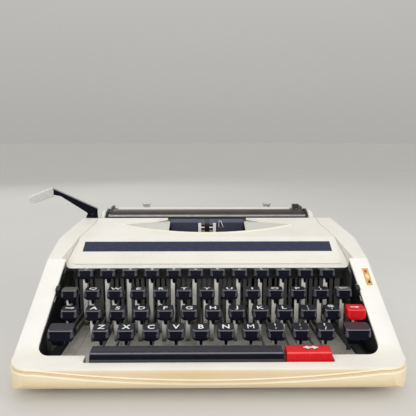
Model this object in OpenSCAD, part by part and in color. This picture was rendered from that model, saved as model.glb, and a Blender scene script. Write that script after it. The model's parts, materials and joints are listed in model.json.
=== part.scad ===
// Portable typewriter with a hinged ribbon cover, a sliding carriage and four rows of lever keys.
// Millimetres. X runs across the machine, Y from the typist to the back, Z up from the table.
// The modules measure Y from the front of the base pan and X from the middle of the keyboard.

/* [Body] */
// Width of the base pan
body_w = 288; // [270:1:310]
// Depth of the base pan
body_d = 283; // [270:1:300]
// Wall of the moulded casing
wall = 2.5; // [1.8:0.1:3.2]
// Gap at the seams between the casing mouldings
seam = 0.3; // [0.2:0.05:0.5]
// Height of the rubber feet
foot_h = 7; // [5:0.5:9]
// Radius of a rubber foot
foot_r = 9; // [7:0.5:11]
// Height of the base pan's rim at the sides
rim_z = 21.5; // [20:0.5:21.5]
// Lowest point of the rim at the middle of the front
dip_z = 14; // [12:0.5:16]
// Height of the front lip of the keyboard frame
lip_z = 24.5; // [24.5:0.5:25.5]

/* [Keyboard] */
// Distance between neighbouring keys in a row
key_pitch = 19.05; // [18.9:0.05:19.15]
// Width of a character key cap
cap_w = 14.5; // [13.5:0.1:15.5]
// Depth of a character key cap
cap_d = 12.8; // [12:0.1:13]
// Height of a cap's front face
cap_h = 8; // [7:0.1:8.5]
// Fall of a cap's top from its rear edge to its front edge, in the bottom row
cap_fall = 2.4; // [1.6:0.2:3]
// Lessening of that fall from row to row upwards
fall_step = 1.1; // [0:0.1:1.2]
// Front edge of the bottom row of caps
row_y = 31.5; // [30.5:0.5:33]
// Step of the rows to the back
row_dy = 19.05; // [18.5:0.05:19.2]
// Front edge of the tops in the bottom row
row_z = 39.8; // [38.8:0.2:40.8]
// Step upwards from the bottom row to the next one
row_dz = 8.8; // [8.4:0.1:9.4]
// Growth of that step from row to row
row_bow = 1.7; // [0:0.1:1.8]
// Half the width of the keyboard opening
well_x = 127; // [125:0.5:129]
// Length of the black space bar
space_w = 140.5; // [130:0.5:144]
// Length of the red repeat bar
repeat_w = 34; // [28:0.5:36]
// Thickness of a key lever
lever_t = 1.2; // [0.8:0.1:1.5]
// Radius of the shaft that the key levers turn on
shaft_r = 3; // [2:0.25:4]

/* [Cover] */
// Height of the deck at the front of the ribbon cover
deck_front_z = 88.5; // [86:0.5:91]
// Height of the deck at its rear edge
deck_rear_z = 98.5; // [96:0.5:101]
// Half the width of the type notch
notch_x = 40; // [34:0.5:44]
// Half the width of the scoop in the deck
scoop_x = 88; // [80:1:96]
// Height by which the front panel of the cover stands proud
panel_t = 1.6; // [1:0.1:2.5]

/* [Carriage] */
// Radius of the platen roller
platen_r = 14.7; // [13.5:0.1:15.2]
// Half the length of the platen roller
platen_x = 105.5; // [100:0.5:105.5]
// Radius of the platen shaft
axle_r = 3; // [2.5:0.25:4]
// Radius of the platen knobs
knob_r = 13.5; // [11:0.5:14]
// Thickness of a platen knob
knob_t = 6; // [5:0.5:8]
// Length of the return lever's arm in plan
lever_arm = 40; // [36:1:44]
// Length of the return lever's paddle in plan
lever_paddle = 28.6; // [24:0.2:32]
// Rise of the return lever above its hub
lever_rise = 38; // [30:1:40]

/* [Type basket] */
// Number of type bars
bar_count = 44; // [40:2:46]
// Radius of the arc of type bar pivots
basket_r = 55; // [54:0.5:56]
// Thickness of a type bar
bar_t = 1.1; // [0.8:0.1:1.3]
// Radius of a ribbon spool
spool_r = 20; // [16:0.5:22]

/* [Hidden] */
$fn = 48;
eps = 0.01;
// Running clearance of a hole on a pin
run = 0.05;
// Clearance of a cap on its lever
cap_fit = 0.1;
// Clearance of parts that slide past each other
slip = 0.3;

// Rows from the top: keys in the row and the place of its first key
row_count = [12, 11, 11, 10];
number_mid = -1.225;
grid = key_pitch / 4;
first_key_x = number_mid - (row_count[0] - 1) / 2 * key_pitch;
row_start = [for (steps = [0, 2, 3, 5]) first_key_x + steps * grid];

// Places of the other keys, with the shift caps counted from their levers
shift_w = 21;
shift_reach = [8.0875, 5.1875];
shift_lever_x = [row_start[3] - 2 * key_pitch, row_start[3] + 10 * key_pitch];
shift_x = shift_lever_x + shift_reach;
tab_w = 16.5;
tab_x = key_x(2, 11);
lock_x = key_x(2, -1);
margin_key_x = key_x(1, -1);
back_key_x = key_x(1, 11);

// Arms of the two bars, each beside a lever of the home row
arm_t = 0.9;
arm_h = 4;
arm_offset = 1.42;
arm_fit = 0.0925;
// Tab bent off the front edge of a stem, to the left, as long as the arms leave room for
tab_l = grid - lever_t / 2 - arm_offset - arm_t / 2 - arm_fit;
tab_t = 1.2;

// The well clears the outermost cap, and the casing clears the well's side walls
plate_t = 1.5;
key_room = 0.9;
side_room = 0.2;
keys_edge = max(tab_x + tab_w / 2, shift_x[1] + shift_w / 2, shift_w / 2 - shift_x[0]);
well_side = max(well_x, keys_edge + key_room);
frame_inset = 1;
half_w = max(body_w / 2, well_side + 2 * wall + slip + plate_t + side_room + frame_inset);
frame_x = half_w - frame_inset;
pan_floor = foot_h + wall;
foot_in_x = 30;
foot_in_y = 28;
base_corner = 20;
// Rise of the rim's curve from its middle to its ends, which the sides' height cuts off
dip_bow = 10;
// Rounding of the base pan's lower edge
pan_edge = 10;
frame_corner = base_corner - frame_inset;

// Top line of the casing from the front lip to the rear edge of the deck
lip_y = 3;
lip_back_y = 20.5;
lip_rise = 1.2;
lip_edge = 0.8;
arm_y = 107;
arm_z = 77;
shoulder_y = 146.5;
deck_y = 200.3;
arm_slope = (arm_z - lip_z - lip_rise) / (arm_y - lip_back_y);
front_slope = (deck_front_z - arm_z) / (shoulder_y - arm_y);
deck_slope = (deck_rear_z - deck_front_z) / (deck_y - shoulder_y);
// The shoulders are cut off at 45 degrees outside this line
shoulder_in = 11.5;
shoulder_cut = half_w - shoulder_in + deck_rear_z;

// Rear casing behind the deck, under the carriage
rear_z = 61;

// Shadow gap between the base pan and the casing
groove = 1.8;
groove_in = 1.2;

// Keyboard opening, with a wider front part for the bars
notch_front = 10.2;
// Room at the outer ends of the two bars
notch_room_left = 3.9;
notch_room_right = 1.2;
// Roundings of the opening's front corners and of the cut-out for the bars
well_r = 9;
notch_r = 2;
flange = 7;

// Selector knobs on the arms
selector_y = 77;
selector_throw = 6;
selector_w = 5;
selector_x = 3.4;
tongue_l = 6;
tongue_t = 2;
tongue_drop = 4.5;

// Ribbon cover
cover_y = 110.5;
cover_z = 67;
cover_front_x = 130;
cover_rear_x = 117.5;
// The cover's sides run straight behind this line
taper_y = 185;
cover_gap = 0.5;
cover_corner = 5;
cover_skirt = 15;
hinge_y = 195;
hinge_z = deck_rear_z - 9.5;
hinge_x = 104;
hinge_r = 2;
lug_t = 3;
ear_r = 4.5;
panel_x = 123;
stripe_x = 117;
stripe_t = 0.6;
stripe_proud = 0.2;
panel_corner = 3;
front_l = sqrt(pow(shoulder_y - cover_y, 2) + pow(deck_front_z - cover_z, 2));
// The stripe's edges as shares of the way up the sloped front
stripe_low = 0.48;
stripe_high = 0.8;
panel_low = 0.1;
scoop_y = 157;
scoop_side_y = 180;
scoop_depth = 6;
notch_y = 172;
// Half the width of the gap in the scoop that the type bars swing through
swing_x = 9;

// Key levers and their shaft
shaft_y = 172;
shaft_z = 19.5;
eye_r = shaft_r + 1.5;
lever_h = 5;
lever_front_z = 24.5;
lever_front_y = 45;
stem_d = 5;
stem_in_cap = 4;
space_y = 11.4;
space_d = 14.6;
space_top_z = 32;
space_h = 11.5;
space_left = -86.5;
bar_gap = 1.2;
repeat_left = space_left + space_w + bar_gap;
notch_left = space_left - notch_room_left;
notch_right = repeat_left + repeat_w + notch_room_right;
// Least distance of an arm from the end of its bar
arm_edge = 2;
bail_rod_y = 158;
bail_rod_z = 14;
bail_rod_r = 1.2;

// Chassis
plate_room = 0.9125;
cover_room = 6.5;
plate_x = max(cover_rear_x + cover_room, tab_l + lever_t / 2 - shift_lever_x[0] + plate_room);
comb_y = 121;
comb_t = 3;
comb_h = 46;
wall_y = 197;
wall_t = 2.5;

// Type basket: the pivots lie on an arc about the printing point
platen_y = 222.7;
platen_z = 90;
pivot_y = 190;
fan = 60.6;
bar_h = 5;
strike_gap = 0.5;
slug_l = 4;
slug_w = 2;
// Height of the type face over the bar's middle line
slug_face = 6.5;
bar_tail = 2.5;
seg_in = basket_r - 8;
seg_out = basket_r + 7;
seg_front = pivot_y - 5;
strike_dy = platen_y - platen_r - strike_gap - pivot_y;
bar_l = slug_l / 2 + sqrt(strike_dy * strike_dy + basket_r * basket_r - slug_face * slug_face);
moving_bar = bar_count / 2;

// Ribbon vibrator
vib_y = 201.3;
vib_t = 2.2;
vib_low = 20;
vib_neck = 60;
vib_top = 92.5;
vib_x = 9.7;
vib_post = 3.3;

// Card guide behind the vibrator
guide_y = 202.2;
guide_t = 1.2;
guide_gap = 10.5;
guide_low = 79;
guide_top = 97;
guide_leg = 7;
guide_seat = 45;
guide_tab = 7;

// Spools
spool_x = 88;
spool_y = 150;
spool_z = 57;
spool_h = 13;
spindle_r = 2;

// Carriage
plate_in = 109.4;
end_t = 2;
tray_z = 64;
tray_t = 2;
tray_front = 204.5;
tray_back = 258;
rail_y = 240;
rail_w = 10;
rail_low = 48;
rail_h = 8;
shoe_l = 50;
shoe_w = rail_w + 8;
room_back = rail_y + shoe_w / 2 + 0.7;
knob_gap = 1;
knob_x = plate_in + end_t + knob_gap;
bail_y = 207;
bail_z = 99.5;
bail_r = 1.5;
bail_arm_x = 106.3;
bail_pivot_y = 240;
bail_pivot_z = 96;
table_right = 97.5;
table_left = -104;
table_z = 103.5;
table_y = 246;
release_x = 100;
release_y = 243;
release_z = 84;
margin_y = 253;
margin_z = 98;
margin_h = 4;
margin_w = 3;
stop_x = 71;
post_x = -126.5;
post_y = 211;
post_w = 11;
post_d = 9;
post_z = 94;
hub_r = 6.5;
hub_h = 7;
pin_r = 2.5;
arm_turn = 22.8;
paddle_turn = 48.8;
strip_t = 2;
hub_z = post_z + run;
bend_x = post_x - lever_arm * cos(arm_turn);
lever_tip = bend_x - lever_paddle * cos(paddle_turn) - strip_t / 2 * sin(paddle_turn);

// The origin is under the middle of the whole outline, with the return lever at rest
origin = [-(half_w + lever_tip) / 2, -body_d / 2, 0];

// Places of the arms of the bars
space_arm_x = [arm_from(space_left), arm_to(space_left + space_w)];
repeat_arm_x = [arm_from(repeat_left), arm_to(repeat_left + repeat_w)];

function row_front(row) = row_y + (3 - row) * row_dy;
function row_top(row) = let (step = 3 - row) row_z + step * row_dz + step * (step - 1) / 2 * row_bow;
function key_x(row, i) = row_start[row] + i * key_pitch;
// Key of the home row at a place, counted from the first one, and the place of a bar arm beside it
function home_step(x) = (x - row_start[2]) / key_pitch;
function arm_x(i) = key_x(2, i) + arm_offset;
// First and last place of an arm under a bar that ends at x
function arm_from(x) = arm_x(ceil(home_step(x + arm_edge - arm_offset)));
function arm_to(x) = arm_x(floor(home_step(x - arm_edge - arm_offset)));
function arc(cx, cy, r, a0, a1, n) =
    [for (i = [0:n]) let (a = a0 + (a1 - a0) * i / n) [cx + r * cos(a), cy + r * sin(a)]];
function top_z(y) =
    y < lip_back_y ? lip_z + lip_rise * max(0, y - lip_y) / (lip_back_y - lip_y)
    : y < arm_y ? lip_z + lip_rise + (y - lip_back_y) * arm_slope
    : y < shoulder_y ? arm_z + (y - arm_y) * front_slope
    : deck_front_z + (y - shoulder_y) * deck_slope;
function lever_mid(y) =
    shaft_z + (lever_front_z - shaft_z) * (shaft_y - y) / (shaft_y - lever_front_y);
function dip(x) = min(rim_z, dip_z + dip_bow * pow(abs(x) / (half_w - 4), 2));
function cover_x(y) =
    cover_rear_x + (cover_front_x - cover_rear_x) * max(0, taper_y - y) / (taper_y - cover_y);
function bar_angle(i) = -fan + 2 * fan * i / (bar_count - 1);

// Top line of the casing, lowered by drop, its rear end brought forward by inset
function crown(drop, inset = 0) = [
    [lip_y, lip_z - drop],
    [lip_back_y, top_z(lip_back_y) - drop],
    [arm_y, arm_z - drop],
    [shoulder_y, deck_front_z - drop],
    [deck_y - inset, top_z(deck_y - inset) - drop]
];
// Line of the ribbon cover's skin, lowered by drop
function cover_line(drop) = [
    [cover_y, cover_z - drop],
    [shoulder_y, deck_front_z - drop],
    [deck_y, deck_rear_z - drop]
];
function back(points) = [for (i = [len(points) - 1:-1:0]) points[i]];

module along_x(x0, x1) translate([x0, 0, 0]) rotate([90, 0, 90]) linear_extrude(x1 - x0) children();
module along_y(y0, y1) translate([0, y1, 0]) rotate([90, 0, 0]) linear_extrude(y1 - y0) children();
module both_sides() { children(); mirror([1, 0, 0]) children(); }

// Outline in plan with rounded corners, front corners first
module plan(x, y0, y1, r_front, r_back) polygon(concat(
    arc(-x + r_front, y0 + r_front, r_front, 180, 270, 8),
    arc(x - r_front, y0 + r_front, r_front, 270, 360, 8),
    arc(x - r_back, y1 - r_back, r_back, 0, 90, 8),
    arc(-x + r_back, y1 - r_back, r_back, 90, 180, 8)));

// Outline in front view with rounded lower edges
module tub(x, low, high, r) polygon(concat(
    arc(-x + r, low + r, r, 180, 270, 6), arc(x - r, low + r, r, 270, 360, 6), [[x, high], [-x, high]]));

// Plane region over the dipped front rim
module over_dip(lift) polygon(concat(
    [for (i = [-12:12]) let (x = i * half_w / 12) [x, dip(x) + lift]],
    [[half_w, rim_z + 40], [-half_w, rim_z + 40]]));

module base_pan() color("wheat") translate(origin) {
    difference() {
        intersection() {
            translate([0, 0, foot_h]) linear_extrude(rim_z - foot_h)
                plan(half_w, 0, body_d, base_corner, base_corner);
            along_y(0, body_d) tub(half_w, foot_h, rim_z, pan_edge);
            translate([0, body_d / 2, 0]) along_x(-half_w, half_w)
                tub(body_d / 2, foot_h, rim_z, pan_edge);
        }
        intersection() {
            translate([0, 0, pan_floor]) linear_extrude(rim_z)
                plan(half_w - wall, wall, body_d - wall, base_corner - wall, base_corner - wall);
            along_y(0, body_d) tub(half_w - wall, pan_floor, rim_z + 1, pan_edge - wall);
            translate([0, body_d / 2, 0]) along_x(-half_w, half_w)
                tub(body_d / 2 - wall, pan_floor, rim_z + 1, pan_edge - wall);
        }
        along_y(-1, base_corner) over_dip(0);
    }
}

module rubber_feet() color("black") translate(origin)
    for (x = [-1, 1], y = [foot_in_y, body_d - foot_in_y]) translate([x * (half_w - foot_in_x), y, 0])
        rotate_extrude() polygon([
            [0, 0], [foot_r - 1, 0], [foot_r, 1], [foot_r - 0.5, foot_h], [0, foot_h]]);

// Block under the casing's top line, shrunk by t on every side but the bottom
module casing_block(y0, y1, t, low) intersection() {
    back_y = body_d - frame_inset - t;
    edge_x = frame_x - t;
    top_x = shoulder_cut - deck_rear_z - t;
    high = deck_rear_z + 1;
    along_x(-half_w, half_w) polygon(concat(
        [[frame_inset + t, low], [frame_inset + t, lip_z - lip_edge - t]],
        crown(t, t),
        [[deck_y - t, rear_z - t], [back_y, rear_z - t - 4], [back_y, low]]));
    translate([0, 0, low]) linear_extrude(high - low)
        plan(edge_x, frame_inset + t, back_y, frame_corner - t, base_corner - t);
    along_y(y0, y1) polygon([
        [-edge_x, low], [edge_x, low], [edge_x, shoulder_cut - frame_x], [top_x, high], [-top_x, high],
        [-edge_x, shoulder_cut - frame_x]]);
}

// Shell of the casing between two depths, cut off along the base pan's rim
module casing_shell(y0, y1, outer, inner, lift) difference() {
    casing_block(y0, y1, outer, 0);
    casing_block(y0 - 1, y1 + 1, inner, -1);
    translate([-half_w - 1, base_corner, -1]) cube([2 * half_w + 2, body_d, rim_z + lift + 1]);
    difference() {
        translate([-half_w - 1, -1, -1]) cube([2 * half_w + 2, base_corner + 1 + eps, rim_z + lift + 1]);
        along_y(-2, base_corner + 1) over_dip(lift);
    }
}

// Casing wall with a shadow gap round its foot
module casing_wall(y0, y1) {
    casing_shell(y0, y1, 0, groove_in, groove);
    casing_shell(y0, y1, groove_in - eps, wall, 0);
}

// Layer of the casing between two depths below its top line
module crown_layer(y0, y1, upper, lower) intersection() {
    along_x(-half_w, half_w) polygon(concat(crown(upper), back(crown(lower))));
    translate([-half_w, y0, 0]) cube([2 * half_w, y1 - y0, deck_rear_z + 1]);
}

module well_outline(grow) {
    x = well_side + grow;
    y = lip_back_y - grow;
    r = well_r + grow;
    back_y = 2 * arm_y;
    polygon(concat(
        [[-x, back_y]],
        arc(-x + r, y + r, r, 180, 270, 6),
        arc(x - r, y + r, r, 270, 360, 6),
        [[x, back_y]]));
    low = notch_front - grow;
    fillet = notch_r + grow;
    polygon(concat(
        [[notch_left - grow, back_y]],
        arc(notch_left - grow + fillet, low + fillet, fillet, 180, 270, 3),
        arc(notch_right + grow - fillet, low + fillet, fillet, 270, 360, 3),
        [[notch_right + grow, back_y]]));
}

// Middle of a selector's tongue in the arm, laid along the arm's slope
module selector_place() translate([0, selector_y, top_z(selector_y) - tongue_drop])
    rotate([atan(arm_slope), 0, 0]) children();

module keyboard_frame() color("ivory") translate(origin) {
    slot_l = tongue_l + 2 * selector_throw + 2 * slip;
    difference() {
        union() {
            casing_wall(0, arm_y - seam);
            intersection() {
                crown_layer(notch_front - wall, arm_y - seam, wall - eps, flange);
                linear_extrude(deck_rear_z) well_outline(wall);
                casing_block(0, arm_y - seam, 0, 0);
            }
        }
        translate([0, 0, -1]) linear_extrude(deck_rear_z + 2) well_outline(0);
        both_sides() selector_place() translate([well_side - 1, -slot_l / 2, -tongue_t / 2 - run])
            cube([wall + 2, slot_l, tongue_t + 2 * run]);
    }
}

// The cover's outline in plan, grown by g, its front corners rounded by r
module cover_plan(g, r = 0) {
    lean = atan((cover_front_x - cover_rear_x) / (taper_y - cover_y));
    x = cover_front_x + g;
    corner_x = x - r * (1 + sin(lean)) / cos(lean);
    corner_y = cover_y - g + r;
    front = r > 0
        ? concat(
            arc(-corner_x, corner_y, r, 180 - lean, 270, 4),
            arc(corner_x, corner_y, r, 270, 360 + lean, 4))
        : [[-x, corner_y], [x, corner_y]];
    polygon(concat(front, [
        [cover_rear_x + g, taper_y], [cover_rear_x + g, deck_y + 2 * g],
        [-cover_rear_x - g, deck_y + 2 * g], [-cover_rear_x - g, taper_y]]));
}

// Strip in plan along the side of the cover, between two distances outside its edge
module cover_side(y0, y1, near, far) {
    bend = min(taper_y, y1);
    both_sides() linear_extrude(deck_rear_z + 1) polygon([
        [cover_x(y0) + near, y0], [cover_x(y0) + far, y0], [cover_x(bend) + far, bend],
        [cover_x(y1) + far, y1], [cover_x(y1) + near, y1], [cover_x(bend) + near, bend]]);
}

module rear_casing() color("ivory") translate(origin) {
    ledge = 4;
    ledge_low = 2 * wall + run;
    ledge_y = shoulder_y + 4;
    ledge_back = hinge_y - 4;
    rear_y = deck_y - wall;
    wall_low = 16;
    room_x = plate_x - 1;
    vent_w = 3;
    difference() {
        casing_wall(arm_y, body_d);
        translate([0, 0, 30]) linear_extrude(deck_rear_z) cover_plan(cover_gap);
        translate([-cover_front_x - cover_gap, arm_y - 1, 0])
            cube([2 * (cover_front_x + cover_gap), cover_y - arm_y + 1, deck_rear_z + 2]);
        // Room behind the deck for the vibrator and the carriage shoe
        translate([-room_x, deck_y - eps, 30]) cube([2 * room_x, room_back - deck_y, 80]);
        // Vents in the back wall
        for (i = [-5:5]) translate([i * 16 - vent_w / 2, body_d - 10, 34]) cube([vent_w, 20, 14]);
    }
    // Inner walls beside the cover and the ledges that its edges rest on
    intersection() {
        crown_layer(arm_y, ledge_y, wall - eps, wall_low);
        cover_side(arm_y, ledge_y, cover_gap, cover_gap + wall);
    }
    intersection() {
        crown_layer(ledge_y - eps, rear_y + eps, wall - eps, ledge_low);
        cover_side(ledge_y - eps, rear_y + eps, cover_gap, cover_gap + wall);
    }
    intersection() {
        crown_layer(ledge_y, ledge_back, wall + run, ledge_low);
        cover_side(ledge_y, ledge_back, -ledge, cover_gap + eps);
    }
}

// Skin of the ribbon cover between two depths
module cover_layer(upper, lower) along_x(-cover_front_x, cover_front_x)
    polygon(concat(cover_line(upper), back(cover_line(lower))));

// Lens outline of the scoop in the deck: a front arc and straight sides to the type notch
module scoop_outline(grow) {
    rise = scoop_side_y - scoop_y;
    r = (scoop_x * scoop_x + rise * rise) / (2 * rise);
    a = asin(scoop_x / r);
    polygon(concat(arc(0, scoop_y + r, r + grow, 270 - a, 270 + a, 20),
        [[notch_x + grow, deck_y + 1], [-notch_x - grow, deck_y + 1]]));
}

// Sloped floors of the scoop, deepest at its front edge
module scoop_floor(upper, lower) {
    run_x = scoop_x - notch_x;
    run_y = deck_y - scoop_side_y;
    turn = atan(run_y / run_x);
    tilt = atan(scoop_depth / 24);
    both_sides() translate([scoop_x, scoop_side_y, top_z(scoop_side_y)]) rotate([0, 0, -turn])
        rotate([tilt, 0, 0]) translate([-120, -70, -lower]) cube([160, 90, lower - upper]);
}

// Puts something on the sloped front of the cover, with Y up the slope and Z out of it
module on_front() translate([0, cover_y, cover_z])
    rotate([atan((deck_front_z - cover_z) / (shoulder_y - cover_y)), 0, 0]) children();
module stripe_block(x, fit, t0, t1) on_front() translate([-x, stripe_low * front_l + fit, t0])
    cube([2 * x, (stripe_high - stripe_low) * front_l - 2 * fit, t1 - t0]);

module ribbon_cover() color("ivory") translate(origin) {
    rim_in = 6;
    rim_x = cover_rear_x - wall - rim_in;
    difference() {
        union() {
            difference() {
                intersection() {
                    union() {
                        cover_layer(0, wall);
                        // Rim all round under the skin
                        difference() {
                            cover_layer(0, cover_skirt);
                            translate([0, 0, -1]) linear_extrude(deck_rear_z + 2)
                                cover_plan(-wall - rim_in);
                            translate([-rim_x, deck_y - 20, -1]) cube([2 * rim_x, 40, deck_rear_z + 2]);
                        }
                    }
                    linear_extrude(deck_rear_z + 1) cover_plan(0, cover_corner);
                }
                // Space for the ledge of the casing under the skin
                difference() {
                    cover_layer(wall, 60);
                    translate([0, 0, -1]) linear_extrude(deck_rear_z + 2) cover_plan(-rim_in + eps);
                }
                linear_extrude(deck_rear_z + 2) scoop_outline(0);
            }
            on_front() translate([0, 0, -eps]) linear_extrude(panel_t + eps)
                plan(panel_x, panel_low * front_l, front_l - panel_t, panel_corner, panel_corner);
            // Floors and edge wall of the scoop, open in the middle where the type bars swing
            difference() {
                union() {
                    intersection() {
                        linear_extrude(deck_rear_z + 1) scoop_outline(wall / 2);
                        scoop_floor(0, wall);
                        cover_layer(0, 30);
                    }
                    intersection() {
                        difference() {
                            linear_extrude(deck_rear_z + 1) scoop_outline(wall);
                            translate([0, 0, -1]) linear_extrude(deck_rear_z + 3) scoop_outline(0);
                        }
                        cover_layer(wall - eps, wall + scoop_depth);
                        linear_extrude(deck_rear_z + 1) cover_plan(-rim_in - 2);
                    }
                }
                translate([-swing_x, scoop_y - 10, 0]) cube([2 * swing_x, 60, deck_rear_z + 5]);
            }
            // Hinge lugs
            both_sides() along_x(hinge_x, hinge_x + lug_t) {
                translate([hinge_y, hinge_z]) circle(ear_r);
                translate([hinge_y - ear_r, hinge_z])
                    square([2 * ear_r, top_z(hinge_y - ear_r) - hinge_z - eps]);
            }
        }
        // Type notch, open to the rear edge
        translate([-notch_x, notch_y, 0]) cube([2 * notch_x, 60, 200]);
        both_sides() translate([hinge_x - 1, hinge_y, hinge_z]) rotate([0, 90, 0])
            cylinder(h = plate_x - hinge_x, r = hinge_r + run);
        // Seat of the stripe
        stripe_block(stripe_x + run, 0, panel_t - stripe_t, panel_t + 5);
    }
}

module cover_stripe() color("midnightblue") translate(origin)
    stripe_block(stripe_x, run, panel_t - stripe_t, panel_t + stripe_proud);

module chassis() color("dimgray") translate(origin) {
    foot_x = 108;
    top = 62;
    rear = room_back;
    rear_top = rear_z - 5.5;
    wall_top = rear_z - 4;
    well_wall = well_side + wall + slip;
    well_front = lip_back_y + 4;
    ear_back = deck_y - wall - seam;
    deck_x = 66;
    guide_x = 16;
    guide_h = 30;
    cross_x = plate_x - run;
    difference() {
        union() {
            // Side plates of the works, with ears for the cover hinge
            both_sides() along_x(plate_x, plate_x + plate_t) polygon([
                [arm_y, pan_floor], [rear, pan_floor], [rear, rear_top], [ear_back, rear_top],
                [ear_back, hinge_z + 3], [hinge_y - 4, hinge_z + 3], [hinge_y - 14, top],
                [arm_y, top - 14]]);
            // Dark side walls of the keyboard well and their feet
            both_sides() along_x(well_wall, well_wall + plate_t) polygon([
                [well_front, pan_floor], [arm_y - 1, pan_floor], [arm_y - 1, top_z(arm_y - 1) - 4],
                [well_front, top_z(well_front) - 4]]);
            both_sides() translate([foot_x, well_front, pan_floor])
                cube([well_wall + plate_t - foot_x, arm_y - 1 - well_front, plate_t]);
            // Cross wall behind the type basket
            translate([-cross_x, wall_y, pan_floor]) cube([2 * cross_x, wall_t, wall_top - pan_floor]);
            // Decks under the ribbon spools
            both_sides() translate([deck_x, spool_y - 24, spool_z - run - plate_t])
                cube([cross_x - deck_x, wall_y - run - spool_y + 24, plate_t]);
            // Guide of the ribbon vibrator
            translate([-guide_x, wall_y + wall_t, pan_floor])
                cube([2 * guide_x, vib_y - run - wall_y - wall_t, guide_h]);
        }
        translate([0, wall_y - 1, platen_z]) rotate([-90, 0, 0])
            cylinder(h = wall_t + 12, r = basket_r - 9);
        // Seats of the lever shaft and the carriage rail
        translate([-plate_x - 5, shaft_y, shaft_z]) rotate([0, 90, 0])
            cylinder(h = 2 * plate_x + 10, r = shaft_r + run);
        translate([-plate_x - 5, rail_y - rail_w / 2, rail_low]) cube([2 * plate_x + 10, rail_w, rail_h]);
    }
    // Spindles of the spools
    both_sides() translate([spool_x, spool_y, spool_z - run - eps])
        cylinder(h = spool_h - 2, r = spindle_r);
    // Pins of the cover hinge
    both_sides() translate([hinge_x - 1, hinge_y, hinge_z]) rotate([0, 90, 0])
        cylinder(h = plate_x - hinge_x + 1 + eps, r = hinge_r);
}

module lever_shaft() color("silver") translate(origin)
    translate([-plate_x - plate_t, shaft_y, shaft_z]) rotate([0, 90, 0])
        cylinder(h = 2 * (plate_x + plate_t), r = shaft_r);

// Comb that keeps the key levers upright, one slot for each lever and bar arm
module lever_comb() color("silver") translate(origin) {
    comb_x = plate_x - seam;
    comb_fit = 0.2;
    slot_low = pan_floor + 2;
    difference() {
        translate([-comb_x, comb_y, pan_floor]) cube([2 * comb_x, comb_t, comb_h]);
        for (x = lever_places()) translate([x - lever_t / 2 - comb_fit, comb_y - 1, slot_low])
            cube([lever_t + 2 * comb_fit, comb_t + 2, comb_h]);
        for (x = arm_places()) translate([x - arm_t / 2 - comb_fit, comb_y - 1, slot_low])
            cube([arm_t + 2 * comb_fit, comb_t + 2, comb_h]);
    }
}

function lever_places() = concat(
    [for (row = [0:3], i = [0:row_count[row] - 1]) key_x(row, i)],
    shift_lever_x, [lock_x, margin_key_x, back_key_x, tab_x]);
function arm_places() = concat(space_arm_x, repeat_arm_x);

// Key cap with sloped sides and a dished top, standing on z = 0 with its front at y = 0
module cap_block(w, d, h, fall) {
    draft = 1.1;
    foot_round = 3;
    dish = 30;
    dish_depth = 0.7;
    tilt = atan(fall / (d - 2 * draft));
    high = max(h, h + fall);
    difference() {
        intersection() {
            along_y(0, d) polygon(concat(
                arc(-w / 2 + foot_round, foot_round, foot_round, 180, 270, 3),
                arc(w / 2 - foot_round, foot_round, foot_round, 270, 360, 3),
                [[w / 2 - draft, high], [-w / 2 + draft, high]]));
            along_x(-w / 2, w / 2) polygon([[0, 0], [d, 0], [d - draft, h + fall], [draft, h]]);
        }
        translate([0, draft, h]) rotate([tilt, 0, 0]) translate([0, -draft - 1, dish - dish_depth])
            rotate([-90, 0, 0]) cylinder(h = d + 3, r = dish);
    }
}

// Steel lever from the shaft to a stem at y, which reaches up to z, with the tab bent off the stem
module lever_plate(x, y, z, t) translate([x - t / 2, 0, 0]) {
    low = lever_mid(y) - lever_h / 2;
    difference() {
        along_x(0, t) union() {
            translate([shaft_y, shaft_z]) circle(eye_r);
            polygon([
                [shaft_y, shaft_z - lever_h / 2], [shaft_y, shaft_z + lever_h / 2],
                [y + stem_d / 2, low + lever_h], [y + stem_d / 2, z],
                [y - stem_d / 2, z], [y - stem_d / 2, low]]);
        }
        translate([-1, shaft_y, shaft_z]) rotate([0, 90, 0]) cylinder(h = t + 2, r = shaft_r + run);
    }
    translate([-tab_l, y - stem_d / 2, low]) cube([tab_l + eps, tab_t, z - low]);
}

// A cap at x on the lever at lever_x, with the slot that the stem sits in
module lever_key(row, x, w, lever_x) {
    y = row_front(row);
    z = row_top(row) - cap_h;
    mid = y + cap_d / 2;
    color("black") difference() {
        translate([x, y, z]) cap_block(w, cap_d, cap_h, cap_fall - (3 - row) * fall_step);
        translate([lever_x - lever_t / 2 - cap_fit, mid - stem_d / 2 - cap_fit, z - 1])
            cube([lever_t + 2 * cap_fit, stem_d + 2 * cap_fit, stem_in_cap + 1]);
        translate([lever_x - lever_t / 2 - tab_l - cap_fit, mid - stem_d / 2 - cap_fit, z - 1])
            cube([tab_l + 2 * cap_fit, tab_t + 2 * cap_fit, stem_in_cap + 1]);
    }
    color("gray") lever_plate(lever_x, mid, z + stem_in_cap, lever_t);
}

module row_key(row, i) translate(origin) lever_key(row, key_x(row, i), cap_w, key_x(row, i));
module row_keys(row) for (i = [0:row_count[row] - 1]) row_key(row, i);

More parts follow.
